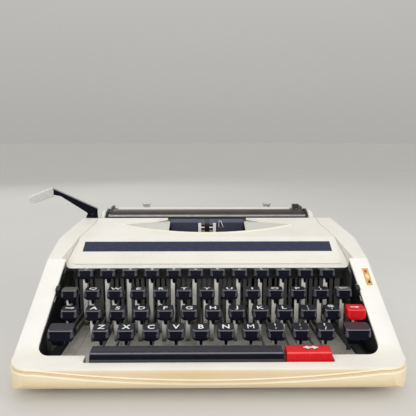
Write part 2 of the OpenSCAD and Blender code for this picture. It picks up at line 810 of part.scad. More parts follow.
// Two shift keys, tied together by a rod under the other levers
module shift_keys() translate(origin) {
    ear_d = 6;
    ear_low = bail_rod_r + 1.2;
    for (i = [0, 1]) difference() {
        union() {
            lever_key(3, shift_x[i], shift_w, shift_lever_x[i]);
            color("gray") translate([shift_lever_x[i], bail_rod_y, 0]) along_x(-lever_t / 2, lever_t / 2)
                polygon([
                    [-ear_d / 2, bail_rod_z - ear_low], [ear_d / 2, bail_rod_z - ear_low],
                    [ear_d / 2 + 1, lever_mid(bail_rod_y)], [-ear_d / 2 - 1, lever_mid(bail_rod_y)]]);
        }
        bail_rod(bail_rod_r + run);
    }
    color("gray") bail_rod(bail_rod_r);
}
module bail_rod(r) translate([shift_lever_x[0] - lever_t, bail_rod_y, bail_rod_z]) rotate([0, 90, 0])
    cylinder(h = shift_lever_x[1] - shift_lever_x[0] + 2 * lever_t, r = r);
module shift_lock() translate(origin) lever_key(2, lock_x, cap_w, lock_x);
module margin_release_key() translate(origin) lever_key(1, margin_key_x, cap_w, margin_key_x);
module backspace_key() translate(origin) lever_key(1, back_key_x, cap_w, back_key_x);
module tab_key() translate(origin) lever_key(2, tab_x, tab_w, tab_x);

// Long bar at the front of the keyboard on two arms between the key levers
module typing_bar(left, length, arms) {
    low = space_top_z - space_h;
    tip = space_y + 3;
    for (x = arms) lever_arm_plate(x, tip);
    difference() {
        translate([left + length / 2, space_y, low]) bar_block(length, space_d, space_h);
        for (x = arms) translate([x - arm_t / 2 - cap_fit, tip - cap_fit, low - 1])
            cube([arm_t + 2 * cap_fit, space_d, lever_mid(tip) + arm_h / 2 - low]);
    }
}
module bar_block(w, d, h) intersection() {
    along_y(0, d) polygon([[-w / 2, 0], [w / 2, 0], [w / 2 - 0.8, h], [-w / 2 + 0.8, h]]);
    along_x(-w / 2, w / 2) polygon(concat([[0, 0], [d, 0]], arc(d - 4, h - 3.4, 3.4, 0, 90, 4),
        arc(4.6, h - 3.6, 3, 90, 170, 4)));
}
module lever_arm_plate(x, tip) translate([x - arm_t / 2, 0, 0]) difference() {
    along_x(0, arm_t) union() {
        translate([shaft_y, shaft_z]) circle(eye_r);
        polygon([
            [shaft_y, shaft_z - arm_h / 2], [shaft_y, shaft_z + arm_h / 2],
            [tip, lever_mid(tip) + arm_h / 2 - 1], [tip, lever_mid(tip) - arm_h / 2]]);
    }
    translate([-1, shaft_y, shaft_z]) rotate([0, 90, 0]) cylinder(h = arm_t + 2, r = shaft_r + run);
}
module space_bar() color("black") translate(origin) typing_bar(space_left, space_w, space_arm_x);
module repeat_bar() color("red") translate(origin)
    typing_bar(repeat_left, repeat_w, repeat_arm_x);

// Places something on the type bar arc at an angle from straight down
module on_arc(a) translate([0, 0, platen_z]) rotate([0, -a, 0]) translate([0, 0, -basket_r]) children();

module type_segment() color("gray") translate(origin) difference() {
    translate([0, wall_y - run, platen_z]) rotate([90, 0, 0]) intersection() {
        difference() {
            cylinder(h = wall_y - run - seg_front, r = seg_out);
            translate([0, 0, -1]) cylinder(h = 40, r = seg_in);
        }
        side = seg_out * 2;
        end_x = side * sin(fan + 4);
        end_z = -side * cos(fan + 4);
        linear_extrude(40) polygon([
            [0, 0], [-end_x, end_z], [-side, -side * 2], [side, -side * 2], [end_x, end_z]]);
    }
    for (i = [0:bar_count - 1]) on_arc(bar_angle(i))
        translate([-bar_t / 2 - run, seg_front - 1, -bar_h / 2 - 2])
            cube([bar_t + 2 * run, pivot_y + 5 - seg_front, 20]);
}

// One type bar at rest, pointing at the typist, with its type slug turned up
module type_bar(a) on_arc(a) {
    translate([-bar_t / 2, pivot_y - bar_l + slug_l, -bar_h / 2])
        cube([bar_t, bar_l - slug_l + bar_tail, bar_h - 1]);
    translate([-slug_w / 2, pivot_y - bar_l, -bar_h / 2])
        cube([slug_w, slug_l + eps, slug_face + bar_h / 2]);
}
module type_bars() color("silver") translate(origin)
    for (i = [0:bar_count - 1]) if (i != moving_bar) type_bar(bar_angle(i));
module centre_type_bar() color("silver") translate(origin) type_bar(bar_angle(moving_bar));

// Fork that lifts the ribbon, two pale posts on a slide
module ribbon_vibrator() color("white") translate(origin) translate([0, vib_y, 0]) {
    both_sides() translate([vib_x - vib_post, 0, vib_neck - eps])
        cube([vib_post, vib_t, vib_top - vib_neck]);
    translate([-vib_x, 0, vib_low]) cube([2 * vib_x, vib_t, vib_neck - vib_low]);
}

// Two plates beside the printing point that hold a card to the roller, on legs behind the cross wall
module card_guide() color("slategray") translate(origin) both_sides() {
    outer = notch_x - 0.5;
    along_y(guide_y, guide_y + guide_t) polygon([
        [outer - guide_leg, guide_seat], [outer, guide_seat], [outer, guide_top - 2],
        [outer - 2, guide_top], [guide_gap, guide_top], [guide_gap, guide_low],
        [outer - guide_leg, guide_low]]);
    translate([outer - guide_leg, wall_y + wall_t + run, guide_seat])
        cube([guide_leg, guide_y - wall_y - wall_t - run + eps, guide_tab]);
}

module ribbon_spool() difference() {
    union() {
        cylinder(h = 1.2, r = spool_r);
        translate([0, 0, spool_h - 1.2]) cylinder(h = 1.2, r = spool_r);
        cylinder(h = spool_h, r = spool_r - 4);
    }
    translate([0, 0, -1]) cylinder(h = spool_h + 2, r = spindle_r + run);
    for (a = [0:60:300]) rotate([0, 0, a]) translate([spool_r / 2, 0, spool_h - 1.5])
        cylinder(h = 3, r = 3);
}
module ribbon_spool_left() color("black") translate(origin)
    translate([-spool_x, spool_y, spool_z]) ribbon_spool();
module ribbon_spool_right() color("black") translate(origin)
    translate([spool_x, spool_y, spool_z]) ribbon_spool();

// Small knob beside the keyboard on a tongue that runs in the slot of the arm
module selector() selector_place() {
    knob_low = -1.5;
    knob_high = 6.5;
    translate([well_side - slip - selector_x, -selector_w / 2, knob_low])
        cube([selector_x, selector_w, knob_high - knob_low]);
    translate([well_side - 2 * slip, -tongue_l / 2, -tongue_t / 2]) cube([wall + slip, tongue_l, tongue_t]);
}
module ribbon_selector() color("black") translate(origin) selector();
module touch_selector() color("black") translate(origin) mirror([1, 0, 0]) selector();

module carriage_rail() color("silver") translate(origin)
    translate([-plate_x - plate_t, rail_y - rail_w / 2, rail_low])
        cube([2 * (plate_x + plate_t), rail_w, rail_h]);

// End plate of the carriage, round in front of the roller
module end_plate() {
    top = margin_z + margin_h + 3;
    polygon(concat(
        [[tray_front, tray_z], [tray_back, tray_z], [tray_back, top - 2], [tray_back - 2, top],
            [bail_pivot_y + 4, top]],
        arc(platen_y, platen_z, platen_r + 1, 40, 195, 10),
        [[tray_front, platen_z - platen_r]]));
}

module carriage_frame() color("dimgray") translate(origin) {
    difference() {
        union() {
            translate([post_x - post_w / 2, tray_front, tray_z])
                cube([plate_in + end_t - post_x + post_w / 2, tray_back - tray_front, tray_t]);
            both_sides() along_x(plate_in, plate_in + end_t) end_plate();
            // Shoe that runs on the rail
            translate([-shoe_l / 2, rail_y - shoe_w / 2, rail_low - 3])
                cube([shoe_l, shoe_w, tray_z + eps - rail_low + 3]);
            // Post of the return lever and its pivot pin
            translate([post_x - post_w / 2, post_y - post_d / 2, tray_z])
                cube([post_w, post_d, post_z - tray_z]);
            translate([post_x, post_y, post_z - eps]) cylinder(h = hub_h + 1, r = pin_r);
        }
        translate([-shoe_l, rail_y - rail_w / 2 - run, rail_low - run])
            cube([2 * shoe_l, rail_w + 2 * run, rail_h + 2 * run]);
        translate([-plate_in - 10, platen_y, platen_z]) rotate([0, 90, 0])
            cylinder(h = 2 * plate_in + 20, r = axle_r + run);
        both_sides() translate([plate_in - 1, bail_pivot_y, bail_pivot_z]) rotate([0, 90, 0])
            cylinder(h = end_t + 2, r = bail_r + run);
        translate([plate_in - 1, release_y, release_z]) rotate([0, 90, 0])
            cylinder(h = end_t + 2, r = bail_r + run);
        // Seats of the margin rail
        translate([-plate_in - 5, margin_y - margin_w / 2 - run, margin_z - run])
            cube([2 * plate_in + 10, margin_w + 2 * run, margin_h + 2 * run]);
    }
}

module platen() color("#2a211c") translate(origin)
    translate([-platen_x, platen_y, platen_z]) rotate([0, 90, 0]) difference() {
        cylinder(h = 2 * platen_x, r = platen_r);
        translate([0, 0, -1]) cylinder(h = 2 * platen_x + 2, r = axle_r + run);
    }

module platen_shaft() color("silver") translate(origin)
    translate([-knob_x - knob_t, platen_y, platen_z]) rotate([0, 90, 0])
        cylinder(h = 2 * (knob_x + knob_t), r = axle_r);

module platen_knobs() color("ivory") translate(origin) both_sides()
    translate([knob_x, platen_y, platen_z]) rotate([0, 90, 0]) difference() {
        rotate_extrude() polygon([[axle_r + run, 0], [knob_r - 1, 0], [knob_r, 1], [knob_r, knob_t - 2],
            [knob_r - 2, knob_t], [axle_r + run, knob_t]]);
        for (a = [0:20:340]) rotate([0, 0, a]) translate([knob_r + 0.8, 0, -1])
            cylinder(h = knob_t + 2, r = 1.3, $fn = 16);
    }

// Sheet behind the roller: a round trough that runs up into a sloped back
module paper_table() color("ivory") translate(origin) {
    sheet_t = 1.5;
    gap = 2.8;
    r = platen_r + gap;
    inner = arc(platen_y, platen_z, r, -60, 0, 8);
    outer = arc(platen_y, platen_z, r + sheet_t, -60, 0, 8);
    along_x(table_left, table_right) polygon(concat(
        inner, [[table_y, table_z]], [[table_y + sheet_t, table_z]], back(outer)));
    // Feet of the sheet on the carriage tray
    for (x = [table_left + 4, table_right - 8]) along_x(x, x + 4) polygon([
        [platen_y + r * cos(60), tray_z + tray_t], [platen_y + r * cos(60) + 9, tray_z + tray_t],
        outer[2], outer[1], outer[0]]);
}

module margin_rail() color("silver") translate(origin)
    translate([-plate_in - end_t, margin_y - margin_w / 2, margin_z])
        cube([2 * (plate_in + end_t), margin_w, margin_h]);

// Margin stop: a saddle on the rail with a winged finger tab
module margin_stop(x) translate([x, margin_y, margin_z]) {
    saddle = margin_w / 2 + 1.6;
    stop_l = 7;
    wing_out = 2.4;
    wing_top = margin_h + 7;
    wing_dip = margin_h + 5.6;
    difference() {
        translate([-stop_l / 2, -saddle, -1.6]) cube([stop_l, 2 * saddle, margin_h + 4]);
        translate([-stop_l, -margin_w / 2 - run, -run])
            cube([2 * stop_l, margin_w + 2 * run, margin_h + 2 * run]);
    }
    along_y(-saddle, -saddle + 1.4) polygon([[-stop_l / 2, margin_h + 2], [stop_l / 2, margin_h + 2],
        [stop_l / 2 + wing_out, wing_top], [stop_l / 2, wing_dip], [-stop_l / 2, wing_dip],
        [-stop_l / 2 - wing_out, wing_top]]);
}
module margin_stop_left() color("silver") translate(origin) margin_stop(-stop_x);
module margin_stop_right() color("silver") translate(origin) margin_stop(stop_x);

// Return lever: a hub, a rising strip and a paddle bent to the front
module return_lever() color("silver") translate(origin) translate([post_x, post_y, hub_z]) {
    base_h = 9;
    neck_h = 6;
    paddle_h = 11;
    drop = 6.5;
    difference() {
        union() {
            cylinder(h = hub_h, r = hub_r);
            rotate([0, 0, 180 + arm_turn]) translate([0, strip_t / 2, 0]) rotate([90, 0, 0])
                linear_extrude(strip_t) polygon([[0, 0], [6, 0], [lever_arm, lever_rise - neck_h],
                    [lever_arm, lever_rise], [lever_arm - 3, lever_rise], [0, base_h - 2]]);
            translate([-lever_arm * cos(arm_turn), -lever_arm * sin(arm_turn), 0])
                rotate([0, 0, 180 + paddle_turn]) translate([0, strip_t / 2, 0]) rotate([90, 0, 0])
                linear_extrude(strip_t) polygon([[-0.6, lever_rise - neck_h], [5, lever_rise - paddle_h],
                    [lever_paddle, lever_rise - drop - paddle_h], [lever_paddle, lever_rise - drop - 3],
                    [lever_paddle - 3, lever_rise - drop], [4, lever_rise], [-0.6, lever_rise]]);
        }
        translate([0, 0, -1]) cylinder(h = hub_h + 2, r = pin_r + run);
    }
}

module paper_bail() color("silver") translate(origin) {
    arm_w = 4;
    arm_thick = 1.5;
    translate([-bail_arm_x - arm_thick, bail_y, bail_z]) rotate([0, 90, 0])
        cylinder(h = 2 * (bail_arm_x + arm_thick), r = bail_r);
    both_sides() {
        along_x(bail_arm_x, bail_arm_x + arm_thick) union() {
            polygon([[bail_y, bail_z - arm_w / 2], [bail_pivot_y, bail_pivot_z - arm_w / 2],
                [bail_pivot_y, bail_pivot_z + arm_w / 2], [bail_y, bail_z + arm_w / 2]]);
            translate([bail_pivot_y, bail_pivot_z]) circle(arm_w / 2 + 1);
        }
        translate([bail_arm_x, bail_pivot_y, bail_pivot_z]) rotate([0, 90, 0])
            cylinder(h = plate_in + end_t - bail_arm_x, r = bail_r);
    }
}

module paper_release_lever() color("black") translate(origin) {
    plate = 2;
    heel = 3;
    grip_z = platen_z + platen_r + 0.8;
    grip_h = 4.5;
    grip_d = 6;
    grip_y = platen_y + 2;
    along_x(release_x, release_x + plate) polygon([
        [release_y - heel, release_z - heel], [release_y + heel, release_z - heel],
        [release_y + 1, grip_z - 1.5], [grip_y + grip_d, grip_z + grip_h - 0.5],
        [grip_y + 1, grip_z + grip_h - 0.5], [grip_y + 1, grip_z + 0.5], [grip_y + grip_d, grip_z + 0.5],
        [release_y - heel - 1, grip_z - 4.5]]);
    translate([release_x, release_y, release_z]) rotate([0, 90, 0])
        cylinder(h = plate_in + end_t - release_x, r = bail_r);
    translate([release_x - heel, grip_y, grip_z]) cube([2 * heel + 1, grip_d, grip_h]);
}

bottom_names = ["z", "x", "c", "v", "b", "n", "m", "comma", "stop", "slash"];
home_names = ["a", "s", "d", "f", "g", "h", "j", "k", "l", "semicolon", "accent"];

base_pan();
rubber_feet();
keyboard_frame();
rear_casing();
chassis();
lever_shaft();
lever_comb();
carriage_rail();
ribbon_cover();
cover_stripe();
carriage_frame();
platen();
platen_shaft();
platen_knobs();
paper_table();
margin_rail();
margin_stop_left();
margin_stop_right();
return_lever();
paper_bail();
paper_release_lever();
type_segment();
type_bars();
centre_type_bar();
ribbon_vibrator();
card_guide();
ribbon_spool_left();
ribbon_spool_right();
ribbon_selector();
touch_selector();
space_bar();
repeat_bar();
shift_keys();
shift_lock();
margin_release_key();
backspace_key();
tab_key();
row_keys(0);  // number_row_keys
row_keys(1);  // upper_row_keys
for (i = [0:len(home_names) - 1])
    row_key(2, i);
for (i = [0:len(bottom_names) - 1])
    row_key(3, i);
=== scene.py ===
"""Looks of a portable typewriter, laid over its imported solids."""
import json
import math

import bmesh
import bpy
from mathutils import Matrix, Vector


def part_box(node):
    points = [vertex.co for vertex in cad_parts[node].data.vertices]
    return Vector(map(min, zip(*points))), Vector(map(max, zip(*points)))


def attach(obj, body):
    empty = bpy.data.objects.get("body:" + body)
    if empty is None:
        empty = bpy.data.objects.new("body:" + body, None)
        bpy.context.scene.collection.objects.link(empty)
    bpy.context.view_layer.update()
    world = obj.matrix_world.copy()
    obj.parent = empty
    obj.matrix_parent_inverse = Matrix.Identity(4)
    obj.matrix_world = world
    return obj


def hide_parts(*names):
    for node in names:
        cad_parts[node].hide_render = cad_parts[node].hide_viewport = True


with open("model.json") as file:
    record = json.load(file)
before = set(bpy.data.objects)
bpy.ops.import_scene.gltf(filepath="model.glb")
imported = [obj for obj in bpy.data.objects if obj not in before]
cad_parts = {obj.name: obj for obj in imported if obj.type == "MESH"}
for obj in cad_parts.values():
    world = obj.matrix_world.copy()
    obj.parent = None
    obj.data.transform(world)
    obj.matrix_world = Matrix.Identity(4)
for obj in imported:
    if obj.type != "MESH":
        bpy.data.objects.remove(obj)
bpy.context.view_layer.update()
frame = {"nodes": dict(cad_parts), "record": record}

bl_info = {
    "name": "Portable typewriter",
    "version": (1, 0, 0),
    "blender": (4, 5, 0),
    "location": "View3D > Sidebar > Typewriter",
    "description": "Dresses the solids of a portable typewriter and sets it on a studio floor",
    "category": "Object",
}

MM = 0.001
BODY_OF = {n: body for body, nodes in frame["record"]["behaviour"]["bodies"].items() for n in nodes}
SLOT_OF = {part["node"]: part["material_slot"] for part in frame["record"]["subparts"]}
PAN_LOW, PAN_HIGH = (Vector(corner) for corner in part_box("base_pan"))
MIDDLE_X = (PAN_LOW.x + PAN_HIGH.x) / 2
SIDES = (-1, 1)
ACROSS = (1, 0, 0)
UP = (0, 0, 1)

# Top of the keyboard frame in millimetres: where its arms start, their slope and that of the front rim
ARM_Y = 20.5
ARM_Z = 25.7
ARM_SLOPE = 51.3 / 86.5
RIM_SLOPE = 1.2 / 17.5

# Half the width of the painted highlight lines along the front rim, and the groove between pan and frame
HALF_HIGHLIGHT = 0.6 * MM
GROOVE = 1.8 * MM

HOME_NODES = ["key_" + k for k in "asdfghjkl"] + ["key_semicolon", "key_accent"]
BOTTOM_NODES = ["key_" + k for k in "zxcvbnm"] + ["key_comma", "key_stop", "key_slash"]
NUMBER_LEGENDS = "!1 \"2 #3 $4 %5 _6 &7 '8 (9 )0 *- +=".split()
UPPER_LEGENDS = [*"QWERTYUIOP", "?/"]
HOME_LEGENDS = [*"ASDFGHJKL", ":;", "@'"]
BOTTOM_LEGENDS = [*"ZXCVBNM", "!,", ":.", "?/"]


def at(x, y, z):
    """A point in millimetres from the middle of the pan's front edge, on the table."""
    return Vector((MIDDLE_X + x * MM, PAN_LOW.y + y * MM, z * MM))


def spot(face):
    """The middle of a face, in millimetres from the same point as in at()."""
    return (face.calc_center_median() - at(0, 0, 0)) / MM


def frame_top(y):
    """Height of the keyboard frame's top, in millimetres."""
    return ARM_Z + (y - ARM_Y) * (ARM_SLOPE if y > ARM_Y else RIM_SLOPE)


def box_of(node):
    """The two corners of a solid's box."""
    return [Vector(corner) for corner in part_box(node)]


class FinishSettings(bpy.types.PropertyGroup):
    """Colours of the finishes"""

    cream: bpy.props.FloatVectorProperty(
        name="Cream", description="Moulded casing", subtype="COLOR", default=(0.86, 0.835, 0.765))
    # The yellowed colour stands both for real yellowing and for painted shade on faces that look to the
    # front
    yellowed_and_shaded: bpy.props.FloatVectorProperty(
        name="Yellowed", description="Casing where light has aged it", subtype="COLOR",
        default=(0.70, 0.53, 0.30))
    key_black: bpy.props.FloatVectorProperty(
        name="Key black", description="Blue-black key caps", subtype="COLOR",
        default=(0.0045, 0.005, 0.011))
    key_red: bpy.props.FloatVectorProperty(
        name="Key red", description="Red caps", subtype="COLOR", default=(0.60, 0.004, 0.008))
    navy: bpy.props.FloatVectorProperty(
        name="Navy", description="Stripe on the cover", subtype="COLOR", default=(0.028, 0.031, 0.072))
    legend: bpy.props.FloatVectorProperty(
        name="Legend", description="Letters on the caps", subtype="COLOR", default=(0.85, 0.85, 0.83))


class KeySettings(bpy.types.PropertyGroup):
    """Sizes of the key caps"""

    width: bpy.props.FloatProperty(
        name="Cap width", description="Width of a character cap", unit="LENGTH", default=14.5 * MM)
    depth: bpy.props.FloatProperty(
        name="Cap depth", description="Depth of a cap", unit="LENGTH", default=12.8 * MM)
    height: bpy.props.FloatProperty(
        name="Cap height", description="Height of a cap's front face", unit="LENGTH", default=8.0 * MM)
    fall: bpy.props.FloatProperty(
        name="Cap fall", description="Fall of the tops to the front, in the bottom row", unit="LENGTH",
        default=2.4 * MM)
    fall_step: bpy.props.FloatProperty(
        name="Fall step", description="Lessening of that fall from row to row upwards", unit="LENGTH",
        default=1.1 * MM)
    foot_round: bpy.props.FloatProperty(
        name="Foot rounding", description="Rounding of the cap's lower corners", unit="LENGTH",
        default=3.0 * MM)
    scoop: bpy.props.FloatProperty(
        name="Front scoop", description="Depth of the hollow in the cap's front", unit="LENGTH",
        default=1.1 * MM)
    pitch: bpy.props.FloatProperty(
        name="Key pitch", description="Distance between neighbouring keys", unit="LENGTH",
        default=19.05 * MM)
    letter: bpy.props.FloatProperty(
        name="Letter size", description="Size of a single letter", unit="LENGTH", default=7.1 * MM)


class StageSettings(bpy.types.PropertyGroup):
    """Camera, lamps and floor"""

    camera_place: bpy.props.FloatVectorProperty(
        name="Camera", description="Place of the camera", subtype="TRANSLATION",
        default=(0.01528, -0.4546, 0.1815))
    camera_pitch: bpy.props.FloatProperty(
        name="Pitch", description="Camera tilt from straight down", subtype="ANGLE",
        default=math.radians(82.0))
    camera_yaw: bpy.props.FloatProperty(
        name="Yaw", description="Camera turn to the left", subtype="ANGLE", default=math.radians(-0.58))
    lens: bpy.props.FloatProperty(
        name="Lens", description="Focal length on a 36 mm sensor", default=41.54)
    key_power: bpy.props.FloatProperty(
        name="Key lamp", description="Power of the main soft lamp", unit="POWER", default=8.2)
    fill_power: bpy.props.FloatProperty(
        name="Fill lamp", description="Power of the side lamps", unit="POWER", default=3.2)
    sky: bpy.props.FloatVectorProperty(
        name="Sky", description="Even light from above", subtype="COLOR", default=(0.70, 0.695, 0.68))
    horizon: bpy.props.FloatVectorProperty(
        name="Horizon", description="Even light from the sides", subtype="COLOR",
        default=(0.42, 0.415, 0.40))
    floor: bpy.props.FloatVectorProperty(
        name="Floor", description="Colour of the floor", subtype="COLOR", default=(0.71, 0.70, 0.675))


# Node groups

def feed(tree, socket, value):
    """Links an input to a socket, or sets it to a number or a colour."""
    if isinstance(value, bpy.types.NodeSocket):
        tree.links.new(value, socket)
    else:
        socket.default_value = value if isinstance(value, float) else (*value, 1.0)


def new_group(name, outputs, **inputs):
    """A shader node group of plain values, with the sockets of its two ends."""
    group = bpy.data.node_groups.new(name, "ShaderNodeTree")
    for label, default in inputs.items():
        socket = group.interface.new_socket(name=label, in_out="INPUT", socket_type="NodeSocketFloat")
        socket.default_value = default
    for label in outputs:
        group.interface.new_socket(name=label, in_out="OUTPUT", socket_type="NodeSocketFloat")
    return group, group.nodes.new("NodeGroupInput").outputs, group.nodes.new("NodeGroupOutput").inputs


def add_noise(tree, scale, detail, vector=None):
    """A noise texture in object space, in features per metre."""
    noise = tree.nodes.new("ShaderNodeTexNoise")
    if vector is None:
        vector = tree.nodes.new("ShaderNodeTexCoord").outputs["Object"]
    tree.links.new(vector, noise.inputs["Vector"])
    feed(tree, noise.inputs["Scale"], scale)
    feed(tree, noise.inputs["Detail"], detail)
    return noise.outputs["Fac"]


def add_range(tree, value, low, high, to_low=0.0, to_high=1.0):
    """Maps a value from one range to another."""
    node = tree.nodes.new("ShaderNodeMapRange")
    labels = ("Value", "From Min", "From Max", "To Min", "To Max")
    for label, each in zip(labels, (value, low, high, to_low, to_high)):
        feed(tree, node.inputs[label], each)
    return node.outputs["Result"]


def add_mix(tree, factor, first, second):
    """Mixes two colours, each a socket or a plain colour."""
    node = tree.nodes.new("ShaderNodeMix")
    node.data_type = "RGBA"
    for i, value in ((0, factor), (6, first), (7, second)):
        feed(tree, node.inputs[i], value)
    return node.outputs[2]


def add_math(tree, operation, first, second=0.0):
    """One sum on one or two values, each a socket or a number."""
    node = tree.nodes.new("ShaderNodeMath")
    node.operation = operation
    feed(tree, node.inputs[0], first)
    feed(tree, node.inputs[1], second)
    return node.outputs[0]


def multiply(tree, product, *values):
    """The product of several values."""
    for value in values:
        product = add_math(tree, "MULTIPLY", product, value)
    return product


def add_split(tree, kind, output):
    """The three parts of a vector that a new node puts out."""
    split = tree.nodes.new("ShaderNodeSeparateXYZ")
    tree.links.new(tree.nodes.new(kind).outputs[output], split.inputs[0])
    return split.outputs


def add_place(tree):
    """The three parts of a point's place in the object's frame."""
    return add_split(tree, "ShaderNodeTexCoord", "Object")


def add_facing(tree):
    """The three parts of the surface's normal."""
    return add_split(tree, "ShaderNodeNewGeometry", "Normal")


def group_grime():
    """Blotches of dust and grime, gathered on faces that look up."""
    group, entry, end = new_group("Grime", ("Mask", "Fine"), Scale=60.0, Amount=0.3)
    coarse = add_noise(group, entry["Scale"], 6.0)
    fine = add_noise(group, 900.0, 3.0)
    upward = add_range(group, add_facing(group)["Z"], -0.2, 0.9, 0.35, 1.0)
    blotch = add_range(group, coarse, 0.42, 0.72)
    speck = add_range(group, fine, 0.40, 0.75, 0.55, 1.0)
    feed(group, end["Mask"], multiply(group, blotch, speck, upward, entry["Amount"]))
    feed(group, end["Fine"], fine)
    return group


def group_yellowing_and_front_shade():
    """Tan mixed in low on the casing, most on faces that look to the front: partly yellowing, partly
    painted shade.
    """
    group, entry, end = new_group("Aging", ("Mask",), Low=0.0, High=0.03)
    height = add_range(group, add_place(group)["Z"], entry["Low"], entry["High"], 1.0, 0.0)
    front = add_range(group, add_facing(group)["Y"], -0.15, -0.85, 0.2, 1.0)
    cloud = add_range(group, add_noise(group, 22.0, 3.0), 0.3, 0.7, 0.8, 1.0)
    feed(group, end["Mask"], multiply(group, height, front, cloud))
    return group


def group_scratches():
    """Long fine scratches along X, as a value round one half."""
    group, entry, end = new_group("Scratches", ("Value",), Scale=500.0)
    stretch = group.nodes.new("ShaderNodeMapping")
    stretch.inputs["Scale"].default_value = (0.06, 1.0, 1.0)
    coords = group.nodes.new("ShaderNodeTexCoord")
    group.links.new(coords.outputs["Object"], stretch.inputs["Vector"])
    feed(group, end["Value"], add_noise(group, entry["Scale"], 3.0, stretch.outputs["Vector"]))
    return group


def group_rim_highlight():
    """A narrow painted highlight line, raised by bump, that follows the dipped front rim, at a height over
    it.
    """
    group, entry, end = new_group("Rim bead", ("Mask",), Rise=0.0)
    rim_low = 14.0 * MM
    rim_rise = 10.0 * MM
    rim_reach = 140.0 * MM
    rim_high = 21.5 * MM
    place = add_place(group)
    across = add_math(group, "DIVIDE", add_math(group, "SUBTRACT", place["X"], MIDDLE_X), rim_reach)
    bow = multiply(group, across, across, rim_rise)
    rim = add_math(group, "MINIMUM", add_math(group, "ADD", bow, rim_low), rim_high)
    line = add_math(group, "ADD", rim, entry["Rise"])
    off = add_math(group, "ABSOLUTE", add_math(group, "SUBTRACT", place["Z"], line))
    share = add_math(group, "DIVIDE", off, HALF_HIGHLIGHT)
    feed(group, end["Mask"], add_range(group, share, 0.55, 1.15, 1.0, 0.0))
    return group


GROUP_MAKERS = {
    "Grime": group_grime,
    "Aging": group_yellowing_and_front_shade,
    "Scratches": group_scratches,
    "Rim bead": group_rim_highlight,
}
GROUPS = {}


def place_group(tree, name, **values):
    """Places a shared group in a material, sets its inputs and gives its outputs."""
    if name not in GROUPS:
        GROUPS[name] = GROUP_MAKERS[name]()
    node = tree.nodes.new("ShaderNodeGroup")
    node.node_tree = GROUPS[name]
    for label, value in values.items():
        node.inputs[label].default_value = value
    return node.outputs


# Materials; a colour that is a word is one of the settings

# Colour, heights between which the yellowing and the painted shade on front faces fade, amount of dirt,
# height of a painted highlight line over the rim
MOULDED = (
    ("cream_plastic", "cream", -0.02, 0.02, 0.14),
    # Greyer cream as painted shade on the scoop and beside the panel
    ("scoop_plastic", (0.62, 0.62, 0.575), -0.02, 0.02, 0.14),
    # Pale yellow painted highlight on the bead along the scoop's edge
    ("rim_cream", (0.93, 0.88, 0.70), -0.02, 0.02, 0.1),
    ("frame_plastic", (0.93, 0.92, 0.865), 0.021, 0.031, 0.12, GROOVE + HALF_HIGHLIGHT),
    ("pan_plastic", (0.91, 0.81, 0.60), 0.002, 0.030, 0.14, -HALF_HIGHLIGHT),
)
# Colour, dust, amount of dust, roughness, shine
GLOSSY = (
    ("key_black", "key_black", (0.03, 0.03, 0.04), 0.05, 0.22, 0.07),
    # Lighter grey flanks of cap fronts: a painted highlight
    ("key_flank", (0.060, 0.060, 0.075), (0.12, 0.12, 0.14), 0.4, 0.3, 0.3),
    # Lighter tops: a painted sheen
    ("key_top", (0.009, 0.0095, 0.017), (0.05, 0.05, 0.06), 0.25, 0.36, 0.2),
    # Pale front edges of caps and bars: a painted highlight
    ("key_edge", (0.15, 0.15, 0.18), (0.30, 0.30, 0.30), 0.3, 0.35),
    # Number-row tops: wear and dust together with a painted sheen
    ("key_worn", (0.034, 0.035, 0.042), (0.16, 0.16, 0.16), 0.5, 0.42, 0.3),
    # Grey tops: dust together with a painted sheen
    ("key_dusty", (0.075, 0.075, 0.066), (0.22, 0.21, 0.17), 0.6, 0.5),
    ("key_maroon", (0.048, 0.020, 0.030), (0.13, 0.07, 0.09), 0.5, 0.42),
    ("key_red", "key_red", (0.45, 0.06, 0.05), 0.1, 0.24, 0.2),
    # Lighter red tops: a painted sheen
    ("key_red_top", (0.70, 0.012, 0.016), (0.6, 0.12, 0.10), 0.15, 0.3, 0.2),
    # Pale red front edges: a painted highlight
    ("key_red_edge", (0.82, 0.10, 0.09), (0.7, 0.3, 0.25), 0.2),
    # Lighter tops of the bars and shift keys: a painted sheen
    ("bar_top", (0.024, 0.024, 0.032), (0.12, 0.12, 0.14), 0.4, 0.36, 0.2),
    ("bar_strip", (0.045, 0.050, 0.044), (0.12, 0.12, 0.10), 0.3, 0.4),
    ("stripe_navy", "navy", (0.08, 0.085, 0.14), 0.1),
    ("guide_navy", (0.12, 0.135, 0.195), (0.20, 0.20, 0.24), 0.3, 0.4),
    # Darker navy for the painted shade on the guide's lower part
    ("guide_dark", (0.036, 0.039, 0.070), (0.08, 0.08, 0.11), 0.3, 0.4),
    ("white_plastic", (0.84, 0.84, 0.81), (0.45, 0.42, 0.36), 0.25, 0.35, 0.5),
)
# Heights between which the painted shade low down on the levers fades, and its colour
LOW_SHADE = (22.0 * MM, 34.0 * MM, (0.055, 0.050, 0.042))
# Colour, stain, roughness, amount of stain, share of metal, strength of the drawn lines, painted shade low
# down
STEELS = (
    ("lever_steel", (0.80, 0.79, 0.75), (0.30, 0.26, 0.18), 0.45, 0.5, 0.2, 1.0, LOW_SHADE),
    ("comb_steel", (0.17, 0.17, 0.165), (0.05, 0.045, 0.035), 0.4, 0.6, 0.6),
    ("works_steel", (0.36, 0.36, 0.36), (0.09, 0.08, 0.06), 0.36, 0.6, 0.7),
    ("bright_steel", (0.82, 0.81, 0.82), (0.55, 0.52, 0.50), 0.24, 0.08, 0.95, 0.1),
)
